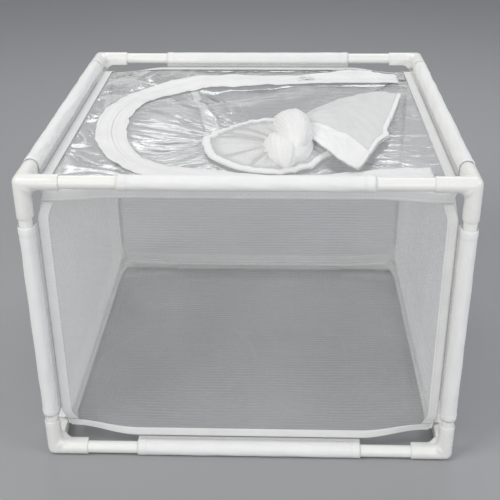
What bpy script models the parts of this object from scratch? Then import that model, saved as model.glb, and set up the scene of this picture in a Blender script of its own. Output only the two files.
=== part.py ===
"""Butterfly habitat: a netting cage with a clear zipped roof, hung inside a frame of plastic tubes.

Metres, +Z up. The origin is under the middle of the frame, on the surface that the frame stands on.
+X points right and +Y points to the back. The zip's straight back run and the slider lie along +X.
"""

import math

import bmesh
import bpy
from mathutils import Matrix, Vector

# Frame of tubes and three-way elbows
FRAME_WIDTH = 0.400
FRAME_DEPTH = 0.400
FRAME_HEIGHT = 0.300
TUBE_DIAMETER = 0.012
TUBE_WALL = 0.0012
SOCKET_CLEARANCE = 0.0003
SOCKET_DEPTH = 0.025
SOCKET_STOP = 0.0021
ELBOW_WALL = 0.0008
CROTCH_FILLET = 0.0055
CROTCH_THICKNESS = 0.005
ROUND_SIDES = 16
SHARP_ANGLE_DEG = 45

# Clearance between two pieces that touch on the real object
SEAT_GAP = 0.0003

# Cloth sleeves round the tubes, and the neck that joins each one to a seam of the cage
SLEEVE_EASE = 0.0003
SLEEVE_CLOTH = 0.0005
NECK_LENGTH = 0.0046
NECK_THICKNESS = 0.0008

# Bare tube between an elbow and a sleeve's hem: on front and back rails, on side rails and on posts
BARE_ACROSS = 0.0496
BARE_ALONG_SIDES = 0.0036
BARE_ON_POSTS = 0.0076

# Cage panels and the binding along their seams
PANEL_THICKNESS = 0.0004
BINDING_THICKNESS = 0.0006
BINDING_WIDTH = 0.0085
BINDING_GAP = 0.0005
CORNER_DRAW_IN = 0.0065
SIDE_SEAM_STRAIGHT = 0.009
CORNER_STEPS = 3

# Zip round the roof door, set back from the tubes' axes: two straight runs and half an ellipse at the left
ZIP_BACK_SETBACK = 0.0589
ZIP_FRONT_SETBACK = 0.0429
ZIP_LEFT_SETBACK = 0.0499
ZIP_BEND_REACH = 0.089
ZIP_BEND_STEPS = 24
ZIP_END_SETBACK = 0.003
TAPE_WIDTH = 0.016
TAPE_THICKNESS = 0.0004
COIL_WIDTH = 0.003
COIL_HEIGHT = 0.002
ZIP_SLOT = 0.001

# Door, which folds up along an uncut line near the right-hand seam
HINGE_SETBACK = 0.0249
HINGE_DOOR_GAP = 0.00005
HINGE_ROOF_GAP = 0.0004
DOOR_CUT_HEIGHT = 0.010

# Zip slider, set back from the hinge line, and its pull
SLIDER_SETBACK = 0.115
SLIDER_LENGTH = 0.010
SLIDER_WIDTH = 0.0086
SLIDER_PLATE = 0.0012
BAIL_RADIUS = 0.0036
BAIL_BAND = 0.0013
BAIL_WIDTH = 0.0016
BAIL_STEPS = 10
PULL_LENGTH = 0.0145
PULL_WIDTH = 0.006
PULL_THICKNESS = 0.0009
PULL_EYE_SIDE = 0.0005
PULL_EYE_REACH = 0.0006
PULL_NOSE_STEPS = 8

# Access sleeve: hem ring round a hole in the door, gathered skirt, knot and loose tail
RING_SETBACK = 0.147
RING_MARGIN = 0.003
RING_RADIUS = 0.064
RING_WIDTH = 0.008
RING_HEIGHT = 0.004
RING_SEGMENTS = 36
RING_SIDES = 10
DOOR_HOLE_MARGIN = 0.002
SKIRT_THICKNESS = 0.0008
SKIRT_SEGMENTS = 45
SKIRT_RINGS = 5
SKIRT_PLEATS = 9
SKIRT_PLEAT_DEPTH = 0.0017
SKIRT_PLEAT_FADE = 0.7
SKIRT_BOW = 0.85
SKIRT_TOP_RADIUS = 0.008
SKIRT_TOP_DROP = 0.0047
KNOT_RIGHT = 0.017
KNOT_FRONT = 0.014
KNOT_HEIGHT = 0.0132
KNOT_SEGMENTS = 16
KNOT_RINGS = 10
TAIL_STEPS = 9
TAIL_SIDES = 20
TAIL_TAPER = 0.7
TAIL_WAVES = 1.5
TAIL_ROOT_THICKNESS = 0.012
TAIL_HEM_THICKNESS = 0.0036
TAIL_WAVE = 0.0012

# Worked out from the sizes above
TUBE_RADIUS = TUBE_DIAMETER / 2
SOCKET_RADIUS = TUBE_RADIUS + SOCKET_CLEARANCE
ELBOW_RADIUS = SOCKET_RADIUS + ELBOW_WALL
SOCKET_FLOOR = SOCKET_RADIUS + SOCKET_STOP
ELBOW_LEG = SOCKET_FLOOR + SOCKET_DEPTH
HALF_SPAN = Vector((FRAME_WIDTH / 2 - ELBOW_RADIUS, FRAME_DEPTH / 2 - ELBOW_RADIUS, 0))
LOW_AXIS = ELBOW_RADIUS
HIGH_AXIS = FRAME_HEIGHT - ELBOW_RADIUS
SLEEVE_INNER = TUBE_RADIUS + SLEEVE_EASE
SLEEVE_OUTER = SLEEVE_INNER + SLEEVE_CLOTH
SLEEVE_SETBACK = {
    "X": ELBOW_LEG + BARE_ACROSS,
    "Y": ELBOW_LEG + BARE_ALONG_SIDES,
    "Z": ELBOW_LEG + BARE_ON_POSTS,
}
SEAM_TURN = {**SLEEVE_SETBACK, "Y": SLEEVE_SETBACK["Y"] - SIDE_SEAM_STRAIGHT}
SEAM_INSET = (SLEEVE_OUTER + NECK_LENGTH + SEAT_GAP) / math.sqrt(2)
PANEL_INSET = SEAM_INSET + BINDING_THICKNESS + BINDING_GAP + PANEL_THICKNESS / 2
PANEL_EDGE = PANEL_INSET + PANEL_THICKNESS / 2 + SEAT_GAP
BINDING_END = PANEL_INSET + BINDING_WIDTH
ROOF_Z = HIGH_AXIS - PANEL_INSET
ROOF_TOP = ROOF_Z + PANEL_THICKNESS / 2
TAPE_Z = ROOF_TOP + SEAT_GAP + TAPE_THICKNESS / 2
TAPE_TOP = TAPE_Z + TAPE_THICKNESS / 2
TAPE_BOTTOM = TAPE_Z - TAPE_THICKNESS / 2
COIL_Z = TAPE_BOTTOM - SEAT_GAP - COIL_HEIGHT / 2
COIL_BOTTOM = COIL_Z - COIL_HEIGHT / 2
HINGE_X = HALF_SPAN.x - HINGE_SETBACK
ZIP_BACK_RUN = HALF_SPAN.y - ZIP_BACK_SETBACK
ZIP_FRONT_RUN = ZIP_FRONT_SETBACK - HALF_SPAN.y
ZIP_BEND_START = ZIP_LEFT_SETBACK + ZIP_BEND_REACH - HALF_SPAN.x
ZIP_END = HINGE_X - ZIP_END_SETBACK
FILM_EDGE = ZIP_SLOT / 2 + COIL_WIDTH + SEAT_GAP
SLIDER_X = HINGE_X - SLIDER_SETBACK
SLIDER_WEB = ZIP_SLOT - 2 * SEAT_GAP
SLIDER_TOP = TAPE_TOP + SEAT_GAP + SLIDER_PLATE
PULL_Z = SLIDER_TOP + SEAT_GAP + PULL_THICKNESS / 2
RING_Z = ROOF_TOP + SEAT_GAP + RING_HEIGHT / 2
RING_TOP = RING_Z + RING_HEIGHT / 2
RING_OUTER = RING_RADIUS + RING_WIDTH / 2
RING_CENTRE = Vector((HINGE_X - RING_SETBACK, ZIP_FRONT_RUN + TAPE_WIDTH + RING_MARGIN + RING_OUTER, 0))
KNOT_CENTRE = RING_CENTRE + Vector((KNOT_RIGHT, -KNOT_FRONT, RING_TOP + KNOT_HEIGHT))

# Lobes of the knot as (centre, radii) round the knot's centre
KNOT_LOBES = (
    ((0.007, 0.018, 0.0025), (0.021, 0.020, 0.015)),
    ((-0.004, -0.015, 0.0), (0.020, 0.026, 0.0145)),
    ((0.001, 0.002, 0.0), (0.017, 0.020, 0.014)),
)

# Edges of the loose tail as curves of three points, from the ring's centre, with heights above the ring's top
TAIL_BACK_EDGE = ((0.037, 0.017, 0.0217), (0.079, 0.108, 0.0167), (0.139, 0.123, 0.0002))
TAIL_FRONT_EDGE = ((0.031, -0.013, 0.0137), (0.051, -0.041, 0.0077), (0.078, -0.067, 0.0002))


def clear_scene():
    for obj in list(bpy.data.objects):
        bpy.data.objects.remove(obj, do_unlink=True)


def new_collection(name):
    collection = bpy.data.collections.new(name)
    bpy.context.scene.collection.children.link(collection)
    return collection


def material(name, colour, roughness, alpha=1.0):
    made = bpy.data.materials.new(name)
    made.use_nodes = True
    shader = made.node_tree.nodes["Principled BSDF"]
    shader.inputs["Base Color"].default_value = (*colour, 1.0)
    shader.inputs["Roughness"].default_value = roughness
    shader.inputs["Metallic"].default_value = 0.0
    shader.inputs["Alpha"].default_value = alpha
    made.diffuse_color = (*colour, alpha)
    return made


def new_object(name, data, collection, finish=None):
    obj = bpy.data.objects.new(name, data)
    collection.objects.link(obj)
    if finish is not None and not data.materials:
        data.materials.append(finish)
    return obj


def smooth(mesh):
    mesh.shade_smooth()
    mesh.set_sharp_from_angle(angle=math.radians(SHARP_ANGLE_DEG))


def mesh_from_bmesh(name, source):
    mesh = bpy.data.meshes.new(name)
    source.to_mesh(mesh)
    source.free()
    return mesh


def prism_mesh(name, radius, low, high, capped=True):
    """A many-sided bar along Z whose flats lie at the radius, so that they face the X and Y directions."""
    bar = bmesh.new()
    corner_radius = radius / math.cos(math.pi / ROUND_SIDES)
    bmesh.ops.create_cone(
        bar,
        cap_ends=capped,
        segments=ROUND_SIDES,
        radius1=corner_radius,
        radius2=corner_radius,
        depth=high - low,
    )
    bmesh.ops.rotate(bar, verts=bar.verts, matrix=Matrix.Rotation(math.pi / ROUND_SIDES, 3, "Z"))
    bmesh.ops.translate(bar, verts=bar.verts, vec=(0, 0, (low + high) / 2))
    return mesh_from_bmesh(name, bar)


def along(axis):
    """The rotation that turns +Z to the named axis."""
    turns = {"X": Matrix.Rotation(math.pi / 2, 4, "Y"), "Y": Matrix.Rotation(-math.pi / 2, 4, "X")}
    return turns.get(axis, Matrix.Identity(4))


def boolean(obj, operation, collection):
    modifier = obj.modifiers.new(operation.title(), "BOOLEAN")
    modifier.operation = operation
    modifier.operand_type = "COLLECTION"
    modifier.collection = collection
    modifier.solver = "EXACT"


def evaluated_mesh(obj, name):
    graph = bpy.context.evaluated_depsgraph_get()
    graph.update()
    mesh = bpy.data.meshes.new_from_object(obj.evaluated_get(graph))
    mesh.name = name
    return mesh


def remove_helpers(objects, collections):
    for obj in objects:
        bpy.data.objects.remove(obj, do_unlink=True)
    for collection in collections:
        bpy.data.collections.remove(collection)


def elbow_mesh():
    """A three-way elbow whose legs run along +X, +Y and +Z from a rounded corner at its origin."""
    added = new_collection("elbow_added")
    bored = new_collection("elbow_bored")
    ball = bmesh.new()
    bmesh.ops.create_uvsphere(ball, u_segments=ROUND_SIDES, v_segments=ROUND_SIDES // 2, radius=ELBOW_RADIUS)
    body = new_object("elbow_body", mesh_from_bmesh("elbow_ball", ball), added)
    added.objects.unlink(body)
    bpy.context.scene.collection.objects.link(body)
    leg = prism_mesh("elbow_leg", ELBOW_RADIUS, 0.0, ELBOW_LEG)
    bore = prism_mesh("elbow_bore", SOCKET_RADIUS, SOCKET_FLOOR, ELBOW_LEG + SOCKET_DEPTH)
    helpers = [body]
    for axis in "XYZ":
        for data, collection in ((leg, added), (bore, bored)):
            piece = new_object(f"{data.name}_{axis}", data, collection)
            piece.matrix_world = along(axis)
            helpers.append(piece)
    for axis in "XYZ":
        web = outline_bar(f"elbow_web_{axis}", web_outline(), CROTCH_THICKNESS, added)
        web.matrix_world = web_turn(axis)
        helpers.append(web)
    boolean(body, "UNION", added)
    boolean(body, "DIFFERENCE", bored)
    mesh = evaluated_mesh(body, "elbow")
    remove_helpers(helpers, (added, bored))
    smooth(mesh)
    return mesh


def web_turn(axis):
    """The rotation that lays the fillet between the two legs that aren't along the named axis."""
    columns = {"X": ((0, 1, 0), (0, 0, 1), (1, 0, 0)), "Y": ((0, 0, 1), (1, 0, 0), (0, 1, 0))}
    if axis not in columns:
        return Matrix.Identity(4)
    return Matrix(columns[axis]).transposed().to_4x4()


def web_outline():
    """The small fillet in the crotch between two legs, seen across the plane of the two."""
    reach = ELBOW_RADIUS + CROTCH_FILLET
    root = ELBOW_RADIUS / 2
    return [(root, root), (reach, root), (root, reach)]


def corner_signs():
    for up, level in ((-1, "bottom"), (1, "top")):
        for back, depth in ((-1, "front"), (1, "back")):
            for right, side in ((-1, "left"), (1, "right")):
                yield (right, back, up), f"{depth}_{side}_{level}"


def axis_height(up):
    return HIGH_AXIS if up > 0 else LOW_AXIS


def make_elbows(collection, finish):
    mesh = elbow_mesh()
    for (right, back, up), place in corner_signs():
        elbow = new_object(f"elbow_{place}", mesh, collection, finish)
        elbow.location = (right * HALF_SPAN.x, back * HALF_SPAN.y, axis_height(up))
        elbow.scale = (-right, -back, -up)


def frame_edges():
    """The twelve edges of the frame: name, axis, the two signs that place it, and its middle."""
    middle = (LOW_AXIS + HIGH_AXIS) / 2
    for up, level in ((-1, "bottom"), (1, "top")):
        for back, depth in ((-1, "front"), (1, "back")):
            yield f"{depth}_{level}", "X", (0, back, up), Vector((0, back * HALF_SPAN.y, axis_height(up)))
        for right, side in ((-1, "left"), (1, "right")):
            yield f"{side}_{level}", "Y", (right, 0, up), Vector((right * HALF_SPAN.x, 0, axis_height(up)))
    for back, depth in ((-1, "front"), (1, "back")):
        for right, side in ((-1, "left"), (1, "right")):
            place = Vector((right * HALF_SPAN.x, back * HALF_SPAN.y, middle))
            yield f"{depth}_{side}", "Z", (right, back, 0), place


def half_span(axis):
    return {"X": HALF_SPAN.x, "Y": HALF_SPAN.y, "Z": (HIGH_AXIS - LOW_AXIS) / 2}[axis]


def make_tubes(collection, finish):
    for place, axis, _, middle in frame_edges():
        half = half_span(axis) - SOCKET_FLOOR - SEAT_GAP
        kind = "post" if axis == "Z" else "rail"
        mesh = prism_mesh(f"{kind}_{place}", TUBE_RADIUS, -half, half, capped=False)
        smooth(mesh)
        tube = new_object(f"{kind}_{place}", mesh, collection, finish)
        tube.matrix_world = Matrix.Translation(middle) @ along(axis)
        wall = tube.modifiers.new("Wall", "SOLIDIFY")
        wall.thickness = TUBE_WALL
        wall.offset = -1.0


def closed_spline(curve, points):
    spline = curve.splines.new("POLY")
    spline.points.add(len(points) - 1)
    for point, (x, y) in zip(spline.points, points):
        point.co = (x, y, 0.0, 1.0)
    spline.use_cyclic_u = True


def plate(name, outlines, thickness, collection, finish):
    """A flat plate from closed outlines in its own XY plane: the first is its edge, the others are holes."""
    curve = bpy.data.curves.new(name, "CURVE")
    curve.dimensions = "2D"
    curve.fill_mode = "BOTH"
    curve.extrude = thickness / 2
    for outline in outlines:
        closed_spline(curve, outline)
    return new_object(name, curve, collection, finish)


def circle(radius, segments, turn=0.0, centre=(0.0, 0.0)):
    steps = [turn + 2 * math.pi * step / segments for step in range(segments)]
    return [(centre[0] + radius * math.cos(a), centre[1] + radius * math.sin(a)) for a in steps]


def sleeve_outline():
    """A pole sleeve seen along the tube: a ring of cloth with its neck pointing along +X."""
    half_neck = NECK_THICKNESS / 2
    outer = [(SLEEVE_OUTER + NECK_LENGTH, -half_neck), (SLEEVE_OUTER + NECK_LENGTH, half_neck)]
    first = math.asin(half_neck / SLEEVE_OUTER)
    for step in range(ROUND_SIDES + 1):
        angle = first + (2 * math.pi - 2 * first) * step / ROUND_SIDES
        outer.append((SLEEVE_OUTER * math.cos(angle), SLEEVE_OUTER * math.sin(angle)))
    corner_radius = SLEEVE_INNER / math.cos(math.pi / ROUND_SIDES)
    return outer, circle(corner_radius, ROUND_SIDES, math.pi / ROUND_SIDES)


def make_pole_sleeves(collection, finish):
    for place, axis, signs, middle in frame_edges():
        length = 2 * (half_span(axis) - SLEEVE_SETBACK[axis])
        kind = "post" if axis == "Z" else "rail"
        sleeve = plate(f"sleeve_{kind}_{place}", sleeve_outline(), length, collection, finish)
        neck = -Vector(signs).normalized()
        run = {"X": Vector((1, 0, 0)), "Y": Vector((0, 1, 0)), "Z": Vector((0, 0, 1))}[axis]
        turned = Matrix((neck, run.cross(neck), run)).transposed().to_4x4()
        sleeve.matrix_world = Matrix.Translation(middle) @ turned


def fade(inset, turn):
    return min(1.0, max(0.0, (turn - inset) / (turn - PANEL_INSET)))


def drawn_in(point):
    """Where a point of the cage ends up once its eight corners are drawn in from the straight seams."""
    low, high = point.z - LOW_AXIS, HIGH_AXIS - point.z
    near = (
        fade(HALF_SPAN.x - abs(point.x), SEAM_TURN["X"])
        * fade(HALF_SPAN.y - abs(point.y), SEAM_TURN["Y"])
        * fade(min(low, high), SEAM_TURN["Z"])
    )
    pull = CORNER_DRAW_IN * near
    inward = Vector((-math.copysign(1, point.x), -math.copysign(1, point.y), math.copysign(1, high - low)))
    return point + pull * inward


def corner_lines(axis, start):
    """Insets from a tube's axis at which the cloth near a corner gets points, so that it can slope there."""
    return [start + (SEAM_TURN[axis] - start) * step / CORNER_STEPS for step in range(CORNER_STEPS + 1)]


def grid_lines(axis):
    """Places of the grid lines across a panel, measured from the middle: close together near the corners."""
    half = half_span(axis)
    low = [inset - half for inset in [PANEL_EDGE, *corner_lines(axis, BINDING_END)]]
    return low + [-value for value in reversed(low)]


def make_panel(name, normal_axis, sign, collection, finish):
    """One side of the cage: a thin sheet just inside its seams, with its corners drawn in."""
    first, second = [axis for axis in "XYZ" if axis != normal_axis]
    order = {"X": 0, "Y": 1, "Z": 2}
    middle = Vector((0, 0, (LOW_AXIS + HIGH_AXIS) / 2))
    sheet = bmesh.new()
    rows = []
    for v in grid_lines(second):
        row = []
        for u in grid_lines(first):
            point = middle.copy()
            point[order[first]] += u
            point[order[second]] += v
            point[order[normal_axis]] += sign * (half_span(normal_axis) - PANEL_INSET)
            row.append(sheet.verts.new(drawn_in(point)))
        rows.append(row)
    for lower, upper in zip(rows, rows[1:]):
        for index in range(len(lower) - 1):
            sheet.faces.new((lower[index], lower[index + 1], upper[index + 1], upper[index]))
    bmesh.ops.recalc_face_normals(sheet, faces=sheet.faces)
    mesh = mesh_from_bmesh(name, sheet)
    panel = new_object(name, mesh, collection, finish)
    cloth = panel.modifiers.new("Cloth", "SOLIDIFY")
    cloth.thickness = PANEL_THICKNESS
    cloth.offset = 0.0
    return panel


def binding_profile():
    """The L of a folded binding across a seam, as inset distances from the tube's axis along both panels."""
    inner = SEAM_INSET + BINDING_THICKNESS
    return (
        (SEAM_INSET, SEAM_INSET),
        (BINDING_END, SEAM_INSET),
        (BINDING_END, inner),
        (inner, inner),
        (inner, BINDING_END),
        (SEAM_INSET, BINDING_END),
    )


def swept_strip(name, sections, closed, collection, finish):
    """A solid swept through sections with equally many points each."""
    strip = bmesh.new()
    rings = [[strip.verts.new(drawn_in(point)) for point in section] for section in sections]
    pairs = list(zip(rings, rings[1:]))
    if closed:
        pairs.append((rings[-1], rings[0]))
    for ring, following in pairs:
        for index in range(len(ring)):
            after = (index + 1) % len(ring)
            strip.faces.new((ring[index], ring[after], following[after], following[index]))
    if not closed:
        strip.faces.new(rings[0])
        strip.faces.new(rings[-1])
    bmesh.ops.recalc_face_normals(strip, faces=strip.faces)
    return new_object(name, mesh_from_bmesh(name, strip), collection, finish)


def loop_stations():
    """Stations round a level seam: for each, a point over the tubes' axes and the way out of the cage."""
    across = [HALF_SPAN.x - inset for inset in corner_lines("X", BINDING_END)]
    along_side = [HALF_SPAN.y - inset for inset in corner_lines("Y", BINDING_END)]
    for right, back in ((1, -1), (1, 1), (-1, 1), (-1, -1)):
        on_side = [(Vector((right * HALF_SPAN.x, back * y)), Vector((right, 0))) for y in along_side]
        on_end = [(Vector((right * x, back * HALF_SPAN.y)), Vector((0, back))) for x in across]
        before, after = (on_side, on_end) if right == back else (on_end, on_side)
        yield from reversed(before)
        yield Vector((right * HALF_SPAN.x, back * HALF_SPAN.y)), Vector((right, back))
        yield from after


def make_level_binding(name, up, collection, finish):
    sections = []
    for place, outward in loop_stations():
        section = []
        for inset, drop in binding_profile():
            x, y = place - inset * outward
            section.append(Vector((x, y, axis_height(up) - up * drop)))
        sections.append(section)
    swept_strip(name, sections, True, collection, finish)


def make_upright_binding(name, right, back, collection, finish):
    insets = corner_lines("Z", BINDING_END + SEAT_GAP)
    heights = [LOW_AXIS + inset for inset in insets] + [HIGH_AXIS - inset for inset in reversed(insets)]
    sections = []
    for height in heights:
        section = [
            Vector((right * (HALF_SPAN.x - a), back * (HALF_SPAN.y - b), height)) for a, b in binding_profile()
        ]
        sections.append(section)
    swept_strip(name, sections, False, collection, finish)


def zip_path(offset, end_x):
    """The zip's line moved out from its middle by the offset: back run, round bend, front run."""
    centre_y = (ZIP_BACK_RUN + ZIP_FRONT_RUN) / 2
    reach_y = (ZIP_BACK_RUN - ZIP_FRONT_RUN) / 2
    points = [(end_x, ZIP_BACK_RUN + offset)]
    for step in range(ZIP_BEND_STEPS + 1):
        angle = math.pi / 2 - math.pi * step / ZIP_BEND_STEPS
        normal = Vector((-reach_y * math.cos(angle), ZIP_BEND_REACH * math.sin(angle))).normalized()
        x = ZIP_BEND_START - ZIP_BEND_REACH * math.cos(angle) + offset * normal.x
        y = centre_y + reach_y * math.sin(angle) + offset * normal.y
        points.append((x, y))
    points.append((end_x, ZIP_FRONT_RUN - offset))
    return points


def zip_band(inner, outer, end_x):
    return zip_path(outer, end_x) + zip_path(inner, end_x)[::-1]


def outline_bar(name, outline, length, collection, finish=None):
    """A closed outline in its own XY plane, drawn out along Z to both sides."""
    bar = bmesh.new()
    face = bar.faces.new([bar.verts.new((x, y, -length / 2)) for x, y in outline])
    raised = bmesh.ops.extrude_face_region(bar, geom=[face])
    moved = [item for item in raised["geom"] if isinstance(item, bmesh.types.BMVert)]
    bmesh.ops.translate(bar, verts=moved, vec=(0, 0, length))
    bmesh.ops.recalc_face_normals(bar, faces=bar.faces)
    return new_object(name, mesh_from_bmesh(name, bar), collection, finish)


def hide_helper(obj):
    obj.hide_render = True
    obj.display_type = "WIRE"


def boolean_object(obj, operation, other):
    modifier = obj.modifiers.new(other.name, "BOOLEAN")
    modifier.operation = operation
    modifier.object = other
    modifier.solver = "EXACT"


def make_roof(collection, cutters, finish):
    """The clear film over the whole top, with the door's outline cut out of it."""
    roof = make_panel("top_film", "Z", 1, collection, finish)
    cut = outline_bar("door_cut", zip_path(FILM_EDGE, HINGE_X + HINGE_ROOF_GAP), DOOR_CUT_HEIGHT, cutters)
    cut.location.z = ROOF_Z
    hide_helper(cut)
    boolean_object(roof, "DIFFERENCE", cut)


def make_zip(collection, tape_finish, coil_finish):
    """The outer tape and coil, sewn to the roof, and the door's. It returns the door's two pieces."""
    half_slot = ZIP_SLOT / 2
    for side, sign in (("outer", 1), ("door", -1)):
        tape_outline = zip_band(sign * half_slot, sign * TAPE_WIDTH, ZIP_END)
        tape = plate(f"zip_tape_{side}", [tape_outline], TAPE_THICKNESS, collection, tape_finish)
        tape.location.z = TAPE_Z
        coil_outline = zip_band(sign * half_slot, sign * (half_slot + COIL_WIDTH), ZIP_END)
        coil = plate(f"zip_coil_{side}", [coil_outline], COIL_HEIGHT, collection, coil_finish)
        coil.location.z = COIL_Z
    return [tape, coil]


def make_door(collection, finish):
    """The door's film, with a round hole under the access sleeve."""
    edge = zip_path(-FILM_EDGE, HINGE_X - HINGE_DOOR_GAP)
    hole = circle(RING_RADIUS - DOOR_HOLE_MARGIN, RING_SEGMENTS, centre=RING_CENTRE)
    door = plate("door_film", [edge, hole], PANEL_THICKNESS, collection, finish)
    door.location.z = ROOF_Z
    return door


def slider_section():
    """The slider seen along its travel: a top plate, a thin web in the slot, a foot under the door's coil."""
    top = TAPE_TOP + SEAT_GAP
    foot = COIL_BOTTOM - SEAT_GAP
    half_web = SLIDER_WEB / 2
    half_width = SLIDER_WIDTH / 2
    return [
        (-half_width, top + SLIDER_PLATE),
        (-half_width, top),
        (-half_web, top),
        (-half_web, foot),
        (-half_width, foot),
        (-half_width, foot - SLIDER_PLATE),
        (half_web, foot - SLIDER_PLATE),
        (half_web, top),
        (half_width, top),
        (half_width, top + SLIDER_PLATE),
    ]


def bail_outline():
    """The arched bail on the slider, seen from the side of the zip, its feet sunk in the plate."""
    steps = [math.pi * step / BAIL_STEPS for step in range(BAIL_STEPS + 1)]
    sunk = SLIDER_PLATE / 2
    inner = BAIL_RADIUS - BAIL_BAND
    outside = [(BAIL_RADIUS * math.cos(a), BAIL_RADIUS * math.sin(a)) for a in steps]
    inside = [(inner * math.cos(a), inner * math.sin(a)) for a in reversed(steps)]
    return [(BAIL_RADIUS, -sunk), *outside, (-BAIL_RADIUS, -sunk), (-inner, -sunk), *inside, (inner, -sunk)]


def make_slider(collection, cutters, finish):
    """The slider on the back run, with its bail joined on. Its length lies along the zip."""
    body = outline_bar("zip_slider", slider_section(), SLIDER_LENGTH, collection, finish)
    across_travel = Matrix(((0, 0, 1, 0), (1, 0, 0, 0), (0, 1, 0, 0), (0, 0, 0, 1)))
    body.matrix_world = Matrix.Translation((SLIDER_X, ZIP_BACK_RUN, 0)) @ across_travel
    bail = outline_bar("zip_bail", bail_outline(), BAIL_WIDTH, cutters)
    side_on = Matrix.Rotation(math.pi / 2, 4, "X")
    bail.matrix_world = Matrix.Translation((SLIDER_X, ZIP_BACK_RUN, SLIDER_TOP)) @ side_on
    hide_helper(bail)
    boolean_object(body, "UNION", bail)
    return body


def make_pull(collection, finish):
    """The flat pull, which lies along +X at rest. Its origin is in the bar that goes through the bail."""
    half_bar = PULL_THICKNESS / 2
    half_width = PULL_WIDTH / 2
    eye_half = BAIL_WIDTH / 2 + PULL_EYE_SIDE
    eye_end = BAIL_RADIUS + PULL_EYE_REACH
    nose = [
        (PULL_LENGTH - half_width + half_width * math.cos(a), half_width * math.sin(a))
        for a in (math.pi / 2 - math.pi * step / PULL_NOSE_STEPS for step in range(PULL_NOSE_STEPS + 1))
    ]
    outline = [(-half_bar, -half_width), (-half_bar, half_width), *nose]
    eye = [(half_bar, -eye_half), (eye_end, -eye_half), (eye_end, eye_half), (half_bar, eye_half)]
    pull = plate("zip_pull", [outline, eye], PULL_THICKNESS, collection, finish)
    pull.location = (SLIDER_X, ZIP_BACK_RUN, PULL_Z)
    return pull


def make_ring(collection, finish):
    """The hem ring of the access sleeve, a flattened torus."""
    bpy.ops.mesh.primitive_torus_add(
        major_segments=RING_SEGMENTS,
        minor_segments=RING_SIDES,
        major_radius=RING_RADIUS,
        minor_radius=RING_WIDTH / 2,
        location=(RING_CENTRE.x, RING_CENTRE.y, RING_Z),
    )
    ring = bpy.context.active_object
    ring.name = "sleeve_ring"
    ring.data.transform(Matrix.Diagonal((1.0, 1.0, RING_HEIGHT / RING_WIDTH, 1.0)))
    for owner in list(ring.users_collection):
        owner.objects.unlink(ring)
    collection.objects.link(ring)
    ring.data.materials.append(finish)
    smooth(ring.data)
    return ring


def knot_solid(name, collection, added, grow, finish=None):
    """The knot's lobes as one solid, each grown by the given margin."""
    lobes = []
    for number, (offset, radii) in enumerate(KNOT_LOBES):
        ball = bmesh.new()
        bmesh.ops.create_uvsphere(ball, u_segments=KNOT_SEGMENTS, v_segments=KNOT_RINGS, radius=1.0)
        bmesh.ops.scale(ball, verts=ball.verts, vec=Vector(radii) + Vector((grow, grow, grow)))
        bmesh.ops.translate(ball, verts=ball.verts, vec=KNOT_CENTRE + Vector(offset))
        lobe_name = f"{name}_lobe_{number}"
        lobes.append(new_object(lobe_name, mesh_from_bmesh(lobe_name, ball), added))
    for lobe in lobes[1:]:
        boolean_object(lobes[0], "UNION", lobe)
    mesh = evaluated_mesh(lobes[0], name)
    remove_helpers(lobes, ())
    smooth(mesh)
    return new_object(name, mesh, collection, finish)


def make_skirt(collection, knot_cut, finish):
    """The gathered cloth from the ring up to the knot, cut off where the knot begins."""
    start_radius = RING_RADIUS - RING_WIDTH / 2 - SEAT_GAP
    rise = KNOT_CENTRE.z - SKIRT_TOP_DROP - RING_Z
    cloth = bmesh.new()
    rings = []
    for level in range(SKIRT_RINGS + 1):
        share = level / SKIRT_RINGS
        centre = RING_CENTRE.lerp(KNOT_CENTRE, share)
        radius = start_radius + (SKIRT_TOP_RADIUS - start_radius) * share
        ring = []
        for step in range(SKIRT_SEGMENTS):
            angle = 2 * math.pi * step / SKIRT_SEGMENTS
            pleat = SKIRT_PLEAT_DEPTH * math.sin(SKIRT_PLEATS * angle)
            height = RING_Z + rise * share**SKIRT_BOW + pleat * math.sin(math.pi * share) ** SKIRT_PLEAT_FADE
            x, y = centre.x + radius * math.cos(angle), centre.y + radius * math.sin(angle)
            ring.append(cloth.verts.new((x, y, height)))
        rings.append(ring)
    for outer, inner in zip(rings, rings[1:]):
        for step in range(SKIRT_SEGMENTS):
            after = (step + 1) % SKIRT_SEGMENTS
            cloth.faces.new((outer[step], outer[after], inner[after], inner[step]))
    skirt = new_object("sleeve_skirt", mesh_from_bmesh("sleeve_skirt", cloth), collection, finish)
    thick = skirt.modifiers.new("Cloth", "SOLIDIFY")
    thick.thickness = SKIRT_THICKNESS
    thick.offset = 0.0
    boolean_object(skirt, "DIFFERENCE", knot_cut)
    return skirt


def bezier(points, share):
    first, second, third = [Vector(point) for point in points]
    return first.lerp(second, share).lerp(second.lerp(third, share), share)


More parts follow.
